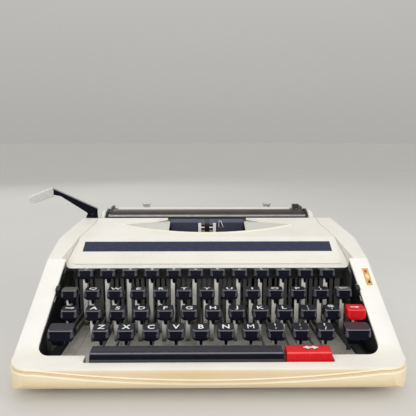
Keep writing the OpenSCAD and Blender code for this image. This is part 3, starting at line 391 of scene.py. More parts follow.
# Colour, dust, roughness, amount of dust, blotches to the metre
DULL = (
    ("pan_floor", (1.0, 0.97, 0.88), (0.32, 0.26, 0.17), 0.5, 0.7, 60.0),
    ("dark_paint", (0.013, 0.016, 0.016), (0.07, 0.07, 0.065), 0.38, 0.3),
    ("tray_grey", (0.085, 0.088, 0.092), (0.16, 0.155, 0.14), 0.42, 0.4),
    ("tray_slate", (0.034, 0.037, 0.039), (0.10, 0.10, 0.09), 0.42, 0.4),
    ("black_plastic", (0.012, 0.012, 0.015), (0.08, 0.08, 0.08), 0.35, 0.3),
    ("foot_rubber", (0.018, 0.018, 0.018), (0.06, 0.055, 0.05), 0.75, 0.3),
    ("platen_rubber", (0.040, 0.027, 0.020), (0.10, 0.08, 0.06), 0.36, 0.3),
    ("legend_white", "legend", (0.5, 0.48, 0.42), 0.5, 0.15),
    ("label_gold", (0.74, 0.40, 0.10), (0.55, 0.34, 0.14), 0.35, 0.3, 300.0),
    ("label_red", (0.62, 0.05, 0.02), (0.4, 0.1, 0.06), 0.4, 0.2),
    ("label_pale", (0.84, 0.76, 0.48), (0.5, 0.4, 0.2), 0.4, 0.2),
)
DIRT = (0.36, 0.28, 0.17)
# Colour of the painted highlight lines along the rims
RIM_HIGHLIGHT_COLOUR = (0.95, 0.88, 0.70)
MATERIALS = {}


def start_material(name, roughness, metallic=0.0, specular=0.5):
    """A new material with plain values on its shader; gives its tree and the shader's inputs."""
    material = bpy.data.materials.new(name)
    material.use_nodes = True
    shader = material.node_tree.nodes["Principled BSDF"].inputs
    shader["Roughness"].default_value = roughness
    shader["Metallic"].default_value = metallic
    shader["Specular IOR Level"].default_value = specular
    MATERIALS[name] = material
    return material.node_tree, shader


def add_bump(tree, shader, height, strength, distance=0.1 * MM):
    """Feeds a height to the shader's normal."""
    bump = tree.nodes.new("ShaderNodeBump")
    feed(tree, bump.inputs["Strength"], strength)
    feed(tree, bump.inputs["Distance"], distance)
    feed(tree, bump.inputs["Height"], height)
    feed(tree, shader["Normal"], bump.outputs["Normal"])


def moulded_plastic(name, colour, low, high, amount, highlight_rise=None):
    """Cream moulded plastic, yellowed low down and tan to the front as painted shade, with a fine grain
    and a pale bead that is a painted highlight line.
    """
    tree, shader = start_material(name, 0.42)
    # Painted shade: faces that look to the front get the tan as well as the yellowing
    yellowing_and_shade = place_group(tree, "Aging", Low=low, High=high)
    grime = place_group(tree, "Grime", Scale=35.0, Amount=amount)
    base = add_mix(tree, yellowing_and_shade["Mask"], colour, tuple(bpy.context.scene.typewriter_finish.yellowed_and_shaded))
    base = add_mix(tree, grime["Mask"], base, DIRT)
    height = grime["Fine"]
    # Painted highlight: a pale line where the rim's edges would catch the light
    if highlight_rise is not None:
        highlight_line = place_group(tree, "Rim bead", Rise=highlight_rise)["Mask"]
        base = add_mix(tree, highlight_line, base, RIM_HIGHLIGHT_COLOUR)
        height = add_math(tree, "ADD", add_math(tree, "MULTIPLY", highlight_line, 3.0), height)
    feed(tree, shader["Base Color"], base)
    feed(tree, shader["Roughness"], add_range(tree, grime["Fine"], 0.3, 0.7, 0.36, 0.5))
    add_bump(tree, shader, height, 0.12, 0.2 * MM)


def cap_plastic(name, colour, dust, amount, roughness=0.24, specular=0.3):
    """Glossy plastic with finger dust."""
    tree, shader = start_material(name, roughness, specular=specular)
    grime = place_group(tree, "Grime", Scale=170.0, Amount=amount)
    feed(tree, shader["Base Color"], add_mix(tree, grime["Mask"], colour, dust))
    feed(tree, shader["Roughness"], add_range(tree, grime["Mask"], 0.0, 0.2, roughness, roughness + 0.3))
    add_bump(tree, shader, grime["Fine"], 0.05)


def worn_steel(name, colour, stain, roughness, amount, metallic=0.95, drawn=1.0, low_shade=None):
    """Steel with drawn lines and stains, darkened low down as painted shade where such heights are given.
    """
    tree, shader = start_material(name, roughness, metallic)
    grime = place_group(tree, "Grime", Scale=110.0, Amount=amount)["Mask"]
    lines = place_group(tree, "Scratches", Scale=700.0)["Value"]
    base = add_mix(tree, grime, colour, stain)
    # Painted shade: darker low down, where the levers lie in shade
    if low_shade:
        low, high, dark = low_shade
        base = add_mix(tree, add_range(tree, add_place(tree)["Z"], low, high, 1.0, 0.0), base, dark)
    smooth = roughness - 0.08 * drawn
    rough = roughness + 0.12 * drawn
    feed(tree, shader["Base Color"], base)
    feed(tree, shader["Roughness"], add_range(tree, lines, 0.3, 0.7, smooth, rough))
    feed(tree, shader["Metallic"], add_range(tree, grime, 0.0, 0.3, metallic, 0.3 * metallic))
    add_bump(tree, shader, lines, 0.06 * drawn)


def dark_paint(name, colour, dust, roughness, amount, scale=80.0):
    """Paint, rubber or print with dust."""
    tree, shader = start_material(name, roughness)
    grime = place_group(tree, "Grime", Scale=scale, Amount=amount)
    uneven = add_range(tree, grime["Fine"], 0.3, 0.7, roughness - 0.08, roughness + 0.1)
    feed(tree, shader["Base Color"], add_mix(tree, grime["Mask"], colour, dust))
    feed(tree, shader["Roughness"], uneven)
    add_bump(tree, shader, grime["Fine"], 0.08)


def make_materials():
    """All finishes of the machine, by name."""
    tints = bpy.context.scene.typewriter_finish
    for make, looks in (
            (moulded_plastic, MOULDED), (cap_plastic, GLOSSY), (worn_steel, STEELS), (dark_paint, DULL)):
        for name, colour, *rest in looks:
            if isinstance(colour, str):
                colour = tuple(getattr(tints, colour))
            make(name, colour, *rest)


# Mesh helpers

def welded(node, angle=1.0):
    """A welded copy of a solid's mesh with its flat faces joined up."""
    mesh = bmesh.new()
    mesh.from_mesh(frame["nodes"][node].data)
    bmesh.ops.remove_doubles(mesh, verts=mesh.verts, dist=2e-6)
    bmesh.ops.dissolve_limit(
        mesh, angle_limit=math.radians(angle), verts=mesh.verts, edges=mesh.edges,
        use_dissolve_boundaries=False)
    return mesh


def cut_along(mesh, place, normal, faces=None, clear=False):
    """Cuts faces of a mesh along a plane, and may take the outer side away."""
    faces = list(mesh.faces) if faces is None else faces
    edges = {edge for face in faces for edge in face.edges}
    verts = {vert for face in faces for vert in face.verts}
    bmesh.ops.bisect_plane(
        mesh, geom=[*verts, *edges, *faces], plane_co=place, plane_no=normal, clear_outer=clear)


def add_piece(name, mesh, body, material, slot, bevel=0.0, segments=2, angle=32.0):
    """Makes an object of a mesh, rounds its edges and sets it on its body."""
    data = bpy.data.meshes.new(name)
    mesh.to_mesh(data)
    mesh.free()
    piece = bpy.data.objects.new(name, data)
    bpy.context.collection.objects.link(piece)
    for each in [material] if isinstance(material, str) else material:
        data.materials.append(MATERIALS[each])
    data.polygons.foreach_set("use_smooth", [True] * len(data.polygons))
    if bevel > 0.0:
        rounding = piece.modifiers.new("Rounded edges", "BEVEL")
        rounding.width = bevel
        rounding.segments = segments
        rounding.limit_method = "ANGLE"
        rounding.angle_limit = math.radians(angle)
        normals = piece.modifiers.new("Even normals", "WEIGHTED_NORMAL")
        normals.keep_sharp = True
    else:
        data.set_sharp_from_angle(angle=math.radians(angle))
    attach(piece, body)
    return piece


def dress(node, material, bevel, segments=2, paint=None, mesh=None):
    """Replaces a solid by a copy with rounded edges; paint gives a face its material's number."""
    mesh = mesh or welded(node)
    if paint:
        for face in mesh.faces:
            face.material_index = paint(face)
    piece = add_piece(node + ".skin", mesh, BODY_OF[node], material, SLOT_OF[node], bevel, segments)
    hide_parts(node)


def split_islands(mesh):
    """The separate lumps of a mesh, as lists of vertices."""
    left = set(mesh.verts)
    lumps = []
    while left:
        stack = [left.pop()]
        lump = []
        while stack:
            vert = stack.pop()
            lump.append(vert)
            for edge in vert.link_edges:
                other = edge.other_vert(vert)
                if other in left:
                    left.remove(other)
                    stack.append(other)
        lumps.append(lump)
    return lumps


def circle(steps):
    """Places round a circle of radius one."""
    turns = [2 * math.pi * i / steps for i in range(steps)]
    return [(math.cos(turn), math.sin(turn)) for turn in turns]


def ring_points(width, depth, radius, steps=5):
    """Rounded rectangle about the origin, anticlockwise from above."""
    radius = min(radius, 0.49 * width, 0.49 * depth)
    corners = ((1, -1, 270), (1, 1, 0), (-1, 1, 90), (-1, -1, 180))
    points = []
    for sx, sy, start in corners:
        for i in range(steps + 1):
            turn = math.radians(start + 90.0 * i / steps)
            points.append((sx * (width / 2 - radius) + radius * math.cos(turn),
                           sy * (depth / 2 - radius) + radius * math.sin(turn)))
    return points


def add_loft(mesh, rings):
    """Skins a stack of rings, closes both ends and gives the faces of each step."""
    rows = [[mesh.verts.new(p) for p in ring] for ring in rings]
    count = len(rows[0])
    steps = []
    for low, high in zip(rows, rows[1:]):
        band = []
        for i in range(count):
            j = (i + 1) % count
            band.append(mesh.faces.new((low[i], low[j], high[j], high[i])))
        steps.append(band)
    mesh.faces.new(list(reversed(rows[0])))
    steps.append([mesh.faces.new(rows[-1])])
    return steps


def add_block(mesh, low, high, inset):
    """A block between two corners, its upper face drawn in on all sides."""
    rings = []
    for z, draw in ((low[2], 0.0), (high[2], inset)):
        left = low[0] + draw
        right = high[0] - draw
        front = low[1] + draw
        back = high[1] - draw
        rings.append([(left, front, z), (right, front, z), (right, back, z), (left, back, z)])
    add_loft(mesh, rings)


def add_pair(mesh, near, far, low, high):
    """Two mirrored blocks, from near to far beside the middle; low and high give depth and height."""
    for side in SIDES:
        left, right = sorted(MIDDLE_X + side * x * MM for x in (near, far))
        add_block(mesh, (left, *low), (right, *high), 0.1 * MM)


# Keys

# Red cap: sides, top with painted sheen, front edge with painted highlight, and the lighter top colour
# again as painted highlight on the front's flanks
RED_CAP = ("key_red", "key_red_top", "key_red_edge", "key_red_top")


def black_cap(top):
    """Materials of a black cap, by number: sides, top with painted sheen, front edge with a painted
    highlight and flanks of the front with a painted highlight.
    """
    return "key_black", top, "key_edge", "key_flank"


def row_fall(keys, row):
    """Fall of a row's tops to the front; the bottom row is number 3."""
    return keys.fall - (3 - row) * keys.fall_step


class CapShape:
    """A cap's outline, its sloped top, its dish and the hollow in its front."""

    draft = 1.1 * MM
    dish = 0.7 * MM
    corner = 2.3 * MM
    flank = 2.6 * MM
    hollow_turn = 0.86 * math.pi
    front_share = 0.28
    side_shares = (0.0, 0.04, 0.09, 0.17, 0.28, 0.45, 0.62, 0.8, 0.92)
    top_insets = (0.35, 0.75, 1.4, 2.4, 3.6)

    def __init__(self, width, keys, row):
        self.width = width
        self.depth = keys.depth
        self.height = keys.height
        self.fall = row_fall(keys, row)
        self.foot_round = keys.foot_round
        self.scoop = keys.scoop
        self.reach = width / 2 - self.flank

    def slope(self, y):
        """Height of the flat slope of the top."""
        return self.height + self.fall * (0.5 + y / (self.depth - 2 * self.draft))

    def sag(self, x):
        """Depth of the dish at a place across the cap."""
        across = min(1.0, abs(2 * x / (self.width - 2 * self.draft)))
        return self.dish * (1.0 - across * across)

    def top(self, x, y):
        """Height of the dished top at a place counted from the middle of the cap."""
        return self.slope(y) - self.sag(x)

    def pressed(self, x, y, share):
        """A place's y on the outline, moved in by the hollow of the front."""
        if y < 0:
            bow = max(0.0, 1.0 - (x / self.reach) ** 2)
            hollow = self.scoop * bow * math.sin(self.hollow_turn * share)
            y += hollow * min(1.0, -3.0 * y / self.depth)
        return y

    def foot_inset(self, z):
        """Draw-in of the sides by the rounding of the lower corners."""
        short = max(0.0, self.foot_round - z)
        return self.foot_round - math.sqrt(self.foot_round ** 2 - short * short)

    def side_ring(self, share, extra):
        """Ring round the sides at a share of the height."""
        inset = self.draft * share + extra
        foot = self.foot_inset(share * self.height)
        ring = []
        for px, py in ring_points(self.width - 2 * (inset + foot), self.depth - 2 * inset, self.corner):
            pz = share * self.slope(py) - self.sag(px) * share ** 8
            ring.append((px, self.pressed(px, py, share), pz))
        return ring

    def top_ring(self, inset):
        """Ring on the dished top."""
        inset += self.draft
        ring = []
        for px, py in ring_points(self.width - 2 * inset, self.depth - 2 * inset, self.corner):
            py = self.pressed(px, py, 1.0)
            ring.append((px, py, self.top(px, py)))
        return ring

    def add(self, mesh, x, y, z):
        """Adds the cap with its middle at x, y and its foot at z."""
        rings = [self.side_ring(share, 0.0) for share in self.side_shares]
        rings.append(self.side_ring(0.97, 0.08 * MM))
        rings += [self.top_ring(inset * MM) for inset in self.top_insets]
        moved = [[(x + px, y + py, z + pz) for px, py, pz in ring] for ring in rings]
        first_top = len(self.side_shares) + 1
        first_flank_highlight = 4
        # Tops get a painted sheen, the front edge and the front's flanks a painted highlight
        for i, band in enumerate(add_loft(mesh, moved)):
            for face in band:
                middle = face.calc_center_median()
                front = middle.y < y - self.front_share * self.depth
                if i >= first_top:
                    face.material_index = 1
                elif i >= first_top - 2:
                    face.material_index = 2 if front else 1
                elif i >= first_flank_highlight and front and abs(middle.x - x) > self.reach:
                    face.material_index = 3


def letter_mesh(text, size):
    """Points and faces of a bold sign, centred on the origin."""
    curve = bpy.data.curves.new("legend", "FONT")
    curve.body = text
    curve.size = size
    curve.align_x = "CENTER"
    curve.align_y = "CENTER"
    # The faces of an M cross each other when it is thickened
    curve.offset = 0.0 if text == "M" else 0.02 * size
    curve.resolution_u = 3
    holder = bpy.data.objects.new("legend", curve)
    data = bpy.data.meshes.new_from_object(holder)
    bpy.data.objects.remove(holder)
    bpy.data.curves.remove(curve)
    points = [v.co.copy() for v in data.vertices]
    faces = [tuple(p.vertices) for p in data.polygons]
    bpy.data.meshes.remove(data)
    middle_x, middle_y = ((min(p[i] for p in points) + max(p[i] for p in points)) / 2 for i in (0, 1))
    return [(p.x - middle_x, p.y - middle_y) for p in points], faces


def arrow_shape(kind, size):
    """Points and faces of an arrow: right, left or both ways."""
    half = size / 2
    shaft = 0.10 * size
    head = 0.36 * size
    half_head = 0.7 * head
    heads = {"right": (1,), "left": (-1,), "both": (1, -1)}[kind]
    left, right = (side * (half - head if side in heads else half) for side in SIDES)
    points = [(left, -shaft), (right, -shaft), (right, shaft), (left, shaft)]
    faces = [(0, 1, 2, 3)]
    for side in heads:
        start = len(points)
        foot = right if side > 0 else left
        points += [(foot, -side * half_head), (side * half, 0.0), (foot, side * half_head)]
        faces.append((start, start + 1, start + 2))
    return points, faces


def add_flat(mesh, shape, place, widen=1.0):
    """Adds a flat legend whose height is given by place(x, y)."""
    points, faces = shape
    verts = [mesh.verts.new(place(x * widen, y)) for x, y in points]
    for face in faces:
        mesh.faces.new([verts[i] for i in face])


def add_legend(mesh, cap, text, x, y, z, size):
    """Adds the legend of a cap: an arrow, one letter, or a sign above a second one."""
    lift = 0.2 * MM
    widen = 1.16
    if text in ("left", "right"):
        shapes = [(arrow_shape(text, 6.4 * MM), 0.3 * MM)]
    elif len(text) == 1:
        shapes = [(letter_mesh(text, size), 0.2 * MM)]
    else:
        shapes = [(letter_mesh(text[0], 0.62 * size), 2.4 * MM),
                  (letter_mesh(text[1], 0.70 * size), -2.1 * MM)]
    for shape, shift in shapes:
        def place(px, py):
            return x + px, y + py + shift, z + cap.top(px, py + shift) + lift
        add_flat(mesh, shape, place, widen)


def cut_levers(node, foot):
    """The steel part of a key's solid, cut off under the cap's foot and drawn up into the cap."""
    margin = 0.06 * MM
    draw = 0.8 * MM
    mesh = welded(node)
    cut_along(mesh, (0, 0, foot - margin), UP, clear=True)
    bmesh.ops.holes_fill(mesh, edges=[e for e in mesh.edges if e.is_boundary])
    for vert in mesh.verts:
        if vert.co.z > foot - 2 * margin:
            vert.co.z += draw
    return mesh


def add_neck(mesh, x, y, foot, width):
    """Black neck of a cap, narrower towards its lever; sizes in millimetres."""
    rings = []
    for drop, wide, deep in ((4.6, 0.6 * width, 5.8), (1.4, 0.8 * width, 6.4), (-0.3, width, 6.6)):
        outline = ring_points(wide * MM, deep * MM, 0.7 * MM, 3)
        rings.append([(x + px, y + py, foot - drop * MM) for px, py in outline])
    add_loft(mesh, rings)


def build_key(node, row, caps, colours, neck=3.4, lever="lever_steel"):
    """Replaces a key's solid; caps holds each cap's x, its neck's x, its width and its legend."""
    keys = bpy.context.scene.typewriter_keys
    low, high = box_of(node)
    foot = high.z - keys.height - max(0.0, row_fall(keys, row))
    middle = low.y + keys.depth / 2
    body = BODY_OF[node]
    cap_mesh = bmesh.new()
    legend_mesh = bmesh.new()
    for x, neck_x, width, legend in caps:
        cap = CapShape(width, keys, row)
        cap.add(cap_mesh, x, middle, foot)
        add_neck(cap_mesh, neck_x, middle, foot, neck)
        if legend:
            add_legend(legend_mesh, cap, legend, x, middle, foot, keys.letter)
    piece = add_piece(node + ".caps", cap_mesh, body, colours, SLOT_OF[node], angle=50.0)
    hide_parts(node)
    add_piece(node + ".levers", cut_levers(node, foot), body, lever, "steel", 0.15 * MM, 1)
    if legend_mesh.verts:
        add_piece(node + ".legends", legend_mesh, body, "legend_white", "white_plastic")
    else:
        legend_mesh.free()
    return piece


class TYPEWRITER_OT_keys(bpy.types.Operator):
    """Key caps, their legends and their steel levers"""

    bl_idname = "typewriter.keys"
    bl_label = "Keys"

    def execute(self, context):
        keys = context.scene.typewriter_keys
        # The number row's tops are lighter as wear and dust together with a painted sheen
        for row, node, legends, top in (
                (0, "number_row_keys", NUMBER_LEGENDS, "key_worn"),
                (1, "upper_row_keys", UPPER_LEGENDS, "key_top")):
            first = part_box(node)[0][0] + keys.width / 2
            places = [first + i * keys.pitch for i in range(len(legends))]
            caps = [(x, x, keys.width, text) for x, text in zip(places, legends)]
            build_key(node, row, caps, black_cap(top))
        for row, nodes, legends in ((2, HOME_NODES, HOME_LEGENDS), (3, BOTTOM_NODES, BOTTOM_LEGENDS)):
            for node, text in zip(nodes, legends):
                self.single(node, row, text, black_cap("key_top"))
        self.single("shift_lock", 2, "right", black_cap("key_top"))
        # The grey tops of these two keys are dust together with a painted sheen
        self.single("margin_release_key", 1, "", black_cap("key_dusty"))
        self.single("backspace_key", 1, "left", black_cap("key_dusty"))
        self.single("tab_key", 2, "right", RED_CAP)
        self.shift()
        return {"FINISHED"}

    def single(self, node, row, text, colours):
        """One key on its own lever."""
        low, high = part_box(node)
        x = (low[0] + high[0]) / 2
        build_key(node, row, [(x, x, high[0] - low[0], text)], colours)

    def shift(self):
        """The two wide shift keys on broad black necks, which stand partly for shade under the caps; the
        right one's top has turned dark red.
        """
        width = 21.0 * MM
        # The broad neck is partly painted shade under the cap
        neck = 13.0
        neck_shift = 2.6 * MM
        places = [at(x, 0, 0).x for x in (-112.2, 113.5)]
        piece = build_key(
            "shift_keys", 3, [(x, x - neck_shift, width, "") for x in places],
            (*black_cap("bar_top"), "key_maroon"), neck, "dark_paint")
        for face in piece.data.polygons:
            if face.material_index == 1 and face.center.x > MIDDLE_X:
                face.material_index = 4


class TYPEWRITER_OT_bars(bpy.types.Operator):
    """Space bar and red repeat bar with their arms"""

    bl_idname = "typewriter.bars"
    bl_label = "Bars"

    def execute(self, context):
        strip_low = 3.7 * MM
        strip_high = 5.6 * MM
        for node, colours in (
                ("space_bar", ("key_black", "bar_top", "key_edge", "bar_strip")),
                ("repeat_bar", ("key_red", "key_red_top", "key_red_edge", "key_red"))):
            bar = self.lumps(node, 0.5, True)
            arms = self.lumps(node, 1.0, False)
            low_z = min(v.co.z for v in bar.verts)
            strip = (low_z + strip_low, low_z + strip_high)
            for height in strip:
                cut_along(bar, (0, 0, height), UP)
            for face in bar.faces:
                face.material_index = self.paint(face, strip)
            piece = add_piece(node + ".bar", bar, BODY_OF[node], colours, SLOT_OF[node], 0.5 * MM, 2, 40.0)
            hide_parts(node)
            add_piece(node + ".arms", arms, BODY_OF[node], "lever_steel", "steel", 0.12 * MM, 1)
        self.arrow()
        return {"FINISHED"}

    def lumps(self, node, angle, wide):
        """Either the wide lumps of a bar's solid or its narrow ones."""
        widest_arm = 5 * MM
        mesh = welded(node, angle)
        for lump in split_islands(mesh):
            across = [v.co.x for v in lump]
            if (max(across) - min(across) > widest_arm) != wide:
                bmesh.ops.delete(mesh, geom=lump, context="VERTS")
        return mesh

    def paint(self, face, strip):
        """Scuffed top with a painted sheen, front edge with a painted highlight and a dull strip low on
        the front.
        """
        # Painted sheen on the top, painted highlight on the front edge
        if face.normal.z > 0.75:
            return 1
        if face.normal.y < -0.6 and face.normal.z > 0.5:
            return 2
        middle = face.calc_center_median().z
        return 3 if face.normal.y < -0.7 and strip[0] < middle < strip[1] else 0

    def arrow(self):
        """Arrow that points both ways, on the red bar."""
        low, high = box_of("repeat_bar")
        middle_x = (low.x + high.x) / 2 + 2.0 * MM
        face_y = low.y + 7.6 * MM
        lifted = high.z + 0.06 * MM
        mesh = bmesh.new()
        add_flat(mesh, arrow_shape("both", 12.0 * MM), lambda x, y: (middle_x + x, face_y + y, lifted))
        add_piece("repeat_bar.arrow", mesh, BODY_OF["repeat_bar"], "legend_white", "white_plastic")


class TYPEWRITER_OT_casing(bpy.types.Operator):
    """Base pan, keyboard frame, rear casing, ribbon cover and feet"""

    bl_idname = "typewriter.casing"
    bl_label = "Casing"

    def execute(self, context):
        inner_floor = 9.5

        def pan_paint(face):
            return 1 if face.normal.z > 0.9 and abs(spot(face).z - inner_floor) < 0.3 else 0

        dress("base_pan", ["pan_plastic", "pan_floor"], 0.5 * MM, paint=pan_paint)
        self.frame()
        dress("rear_casing", "cream_plastic", 0.9 * MM, 3)
        self.cover()
        dress("cover_stripe", "stripe_navy", 0.1 * MM, 1)
        dress("rubber_feet", "foot_rubber", 0.5 * MM)
        return {"FINISHED"}

    def cover(self):
        """Ribbon cover with painted shade: a dark skirt under its front, a greyer scoop and greyer strips
        beside its raised panel.
        """
        skirt_back = 118.0
        skirt_top = 68.2
        panel = 123.0
        strip_end = panel + 1.5
        panel_back = 146.0

        def paint(face):
            middle = spot(face)
            normal = face.normal
            # Painted shade: the skirt under the cover's front is dark
            if middle.y < skirt_back and middle.z < skirt_top and normal.z < 0.3:
                return 1
            # Painted shade: greyer strips in the corners beside the raised panel
            if panel < abs(middle.x) < strip_end and middle.y < panel_back and 0.3 < normal.z < 0.95:
                return 2
            # Painted shade: the tilted facets of the scoop are greyer
            return 2 if normal.z > 0.9 and 0.05 < abs(normal.x) < 0.2 else 0

        mesh = welded("ribbon_cover")
        for side in SIDES:
            cut_along(mesh, at(side * strip_end, 0, 0), ACROSS)
        self.scoop_rim(mesh)
        finishes = ["cream_plastic", "dark_paint", "scoop_plastic"]
        dress("ribbon_cover", finishes, 0.6 * MM, 3, paint=paint, mesh=mesh)

    def scoop_rim(self, cover):
        """Pale bead along the front edge of the scoop in the cover's deck, coloured as a painted highlight
        line.
        """
        front_half = at(0, 190, 0).y
        deck_slope = 0.186
        profile = ((0.3, -0.4), (-0.1, 0.8), (-0.9, 0.9), (-1.7, 0.4), (-2.2, -0.4))
        ends = set()
        for edge in cover.edges:
            normals = [face.normal for face in edge.link_faces]
            on_deck = any(n.z > 0.95 and abs(n.x) < 0.04 for n in normals)
            if on_deck and any(n.y > 0.7 and abs(n.z) < 0.2 for n in normals):
                ends.update(edge.verts)
        path = sorted((v.co.copy() for v in ends if v.co.y < front_half), key=lambda point: point.x)
        highlight_line = bmesh.new()
        add_loft(highlight_line, [[(p.x, p.y + y * MM, p.z + (deck_slope * y + z) * MM) for y, z in profile]
                        for p in path])
        bmesh.ops.recalc_face_normals(highlight_line, faces=highlight_line.faces)
        add_piece("scoop_rim", highlight_line, BODY_OF["ribbon_cover"], "rim_cream", "cream_plastic", angle=60.0)

    def frame(self):
        """Keyboard frame whose opening's walls, under the thin cream edge, are painted dark as shade."""
        edge = 2.2
        mesh = welded("keyboard_frame")
        for slope in (ARM_SLOPE, RIM_SLOPE):
            walls = [face for face in mesh.faces if self.is_wall(face)]
            cut_along(mesh, at(0, ARM_Y, ARM_Z - edge), (0, -slope, 1), walls)

        def paint(face):
            middle = spot(face)
            # Painted shade: the walls below the cream edge are dark
            return 1 if self.is_wall(face) and middle.z < frame_top(middle.y) - edge else 0

        dress("keyboard_frame", ["frame_plastic", "dark_paint"], 0.9 * MM, 3, paint=paint, mesh=mesh)

    def is_wall(self, face):
        """Whether a face is a wall of the keyboard opening."""
        half_width = 128.0
        front = 9.0
        middle = spot(face)
        return abs(face.normal.z) < 0.5 and abs(middle.x) < half_width and middle.y > front


class TYPEWRITER_OT_works(bpy.types.Operator):
    """Chassis, comb, shafts, type basket, vibrator, card guide and spools"""

    bl_idname = "typewriter.works"
    bl_label = "Works"

    def execute(self, context):
        self.chassis()
        dress("lever_shaft", "works_steel", 0.3 * MM)
        dress("lever_comb", "comb_steel", 0.1 * MM, 1)
        dress("carriage_rail", "works_steel", 0.3 * MM)
        dress("type_segment", "works_steel", 0.1 * MM, 1)
        dress("type_bars", "works_steel", 0.12 * MM, 1)
        dress("centre_type_bar", "works_steel", 0.12 * MM, 1)
        dress("ribbon_vibrator", "white_plastic", 0.3 * MM)
        self.guide()
        dress("ribbon_spool_left", "black_plastic", 0.3 * MM)
        dress("ribbon_spool_right", "black_plastic", 0.3 * MM)
        self.trays()
        self.clips()
        self.guide_trim()
        return {"FINISHED"}

    def chassis(self):
        """Dark works; the inner part of the two corner trays is as pale and dirty as the floor."""
        border = 118.4
        tray_back = 107.0
        tray_top = 11.5
        mesh = welded("chassis")
        for side in SIDES:
            cut_along(mesh, at(side * border, 0, 0), ACROSS)

        def paint(face):
            middle = spot(face)
            return 1 if abs(middle.x) < border and middle.y < tray_back and middle.z < tray_top else 0

        dress("chassis", ["dark_paint", "pan_floor"], 0.25 * MM, paint=paint, mesh=mesh)

    def guide(self):
        """Card guide, with painted shade on its lower part."""
        shade = at(0, 0, 93.0)
        mesh = welded("card_guide")
        cut_along(mesh, shade, UP)

        def paint(face):
            # Painted shade: the lower part is darker
            return 1 if face.calc_center_median().z < shade.z else 0

        dress("card_guide", ["guide_navy", "guide_dark"], 0.2 * MM, paint=paint, mesh=mesh)

    def trays(self):
        """Thin grey plates that lie in the corner trays."""
        for name, low, high, colour in (
                ("tray_plate_left", at(-129.0, 26.0, 11.0), at(-119.2, 67.5, 11.6), "tray_slate"),
                ("tray_plate_right", at(119.8, 26.0, 11.0), at(126.2, 73.0, 11.6), "tray_grey"),
                ("tray_lip_left", at(-129.0, 66.6, 11.55), at(-119.2, 67.4, 12.1), "tray_grey")):
            mesh = bmesh.new()
            add_block(mesh, low, high, 0.15 * MM)
            add_piece(name, mesh, "machine", colour, "dark_steel")

    def clips(self):
        """Ribbon clips on the two posts, a dark one between two bright ones."""
        low, high = box_of("ribbon_vibrator")
        front = low.y + 0.1 * MM
        back = high.y - 0.1 * MM
        near = 2.4
        far = 6.45
        for name, colour, drops in (
                ("ribbon_clip.dark", "black_plastic", ((7.4, 5.0),)),
                ("ribbon_clip.bright", "bright_steel", ((5.0, 3.9), (10.6, 7.4)))):
            mesh = bmesh.new()
            for base, top in drops:
                add_pair(mesh, near, far, (front, high.z - base * MM), (back, high.z - top * MM))
            add_piece(name, mesh, BODY_OF["ribbon_vibrator"], colour, colour)

    def guide_trim(self):
        """Tabs behind the card guide and the small rimmed lever on its front."""
        high = box_of("card_guide")[1]
        base = high.z - 6.5 * MM
        top = high.z - 0.2 * MM
        tabs = bmesh.new()
        for near, far, front, back in ((2.6, 12.5, 0.3, 0.9), (10.9, 12.5, -0.2, 0.4)):
            add_pair(tabs, near, far, (high.y + front * MM, base), (high.y + back * MM, top))
        add_piece("guide_tabs", tabs, BODY_OF["card_guide"], "guide_navy", "black_plastic")
        seat = high.y - 1.15 * MM
        face = high.y - 1.2 * MM
        low_z = -8.6
        high_z = -2.6
        for name, colour, rim, proud in (
                ("guide_lever.rim", "white_plastic", 0.6, 0.35),
                ("guide_lever.plate", "black_plastic", 0.0, 0.75)):
            corners = ((13.0 - rim, low_z - 0.5 * rim), (17.4 + rim, low_z - 0.5 * rim),
                       (14.6 + rim, high_z + rim), (13.4 - rim, high_z + rim))
            mesh = bmesh.new()
            add_loft(mesh, [[(MIDDLE_X + x * MM, y, high.z + z * MM) for x, z in corners]
                            for y in (seat, face - proud * MM)])
            add_piece(name, mesh, "machine", colour, colour)


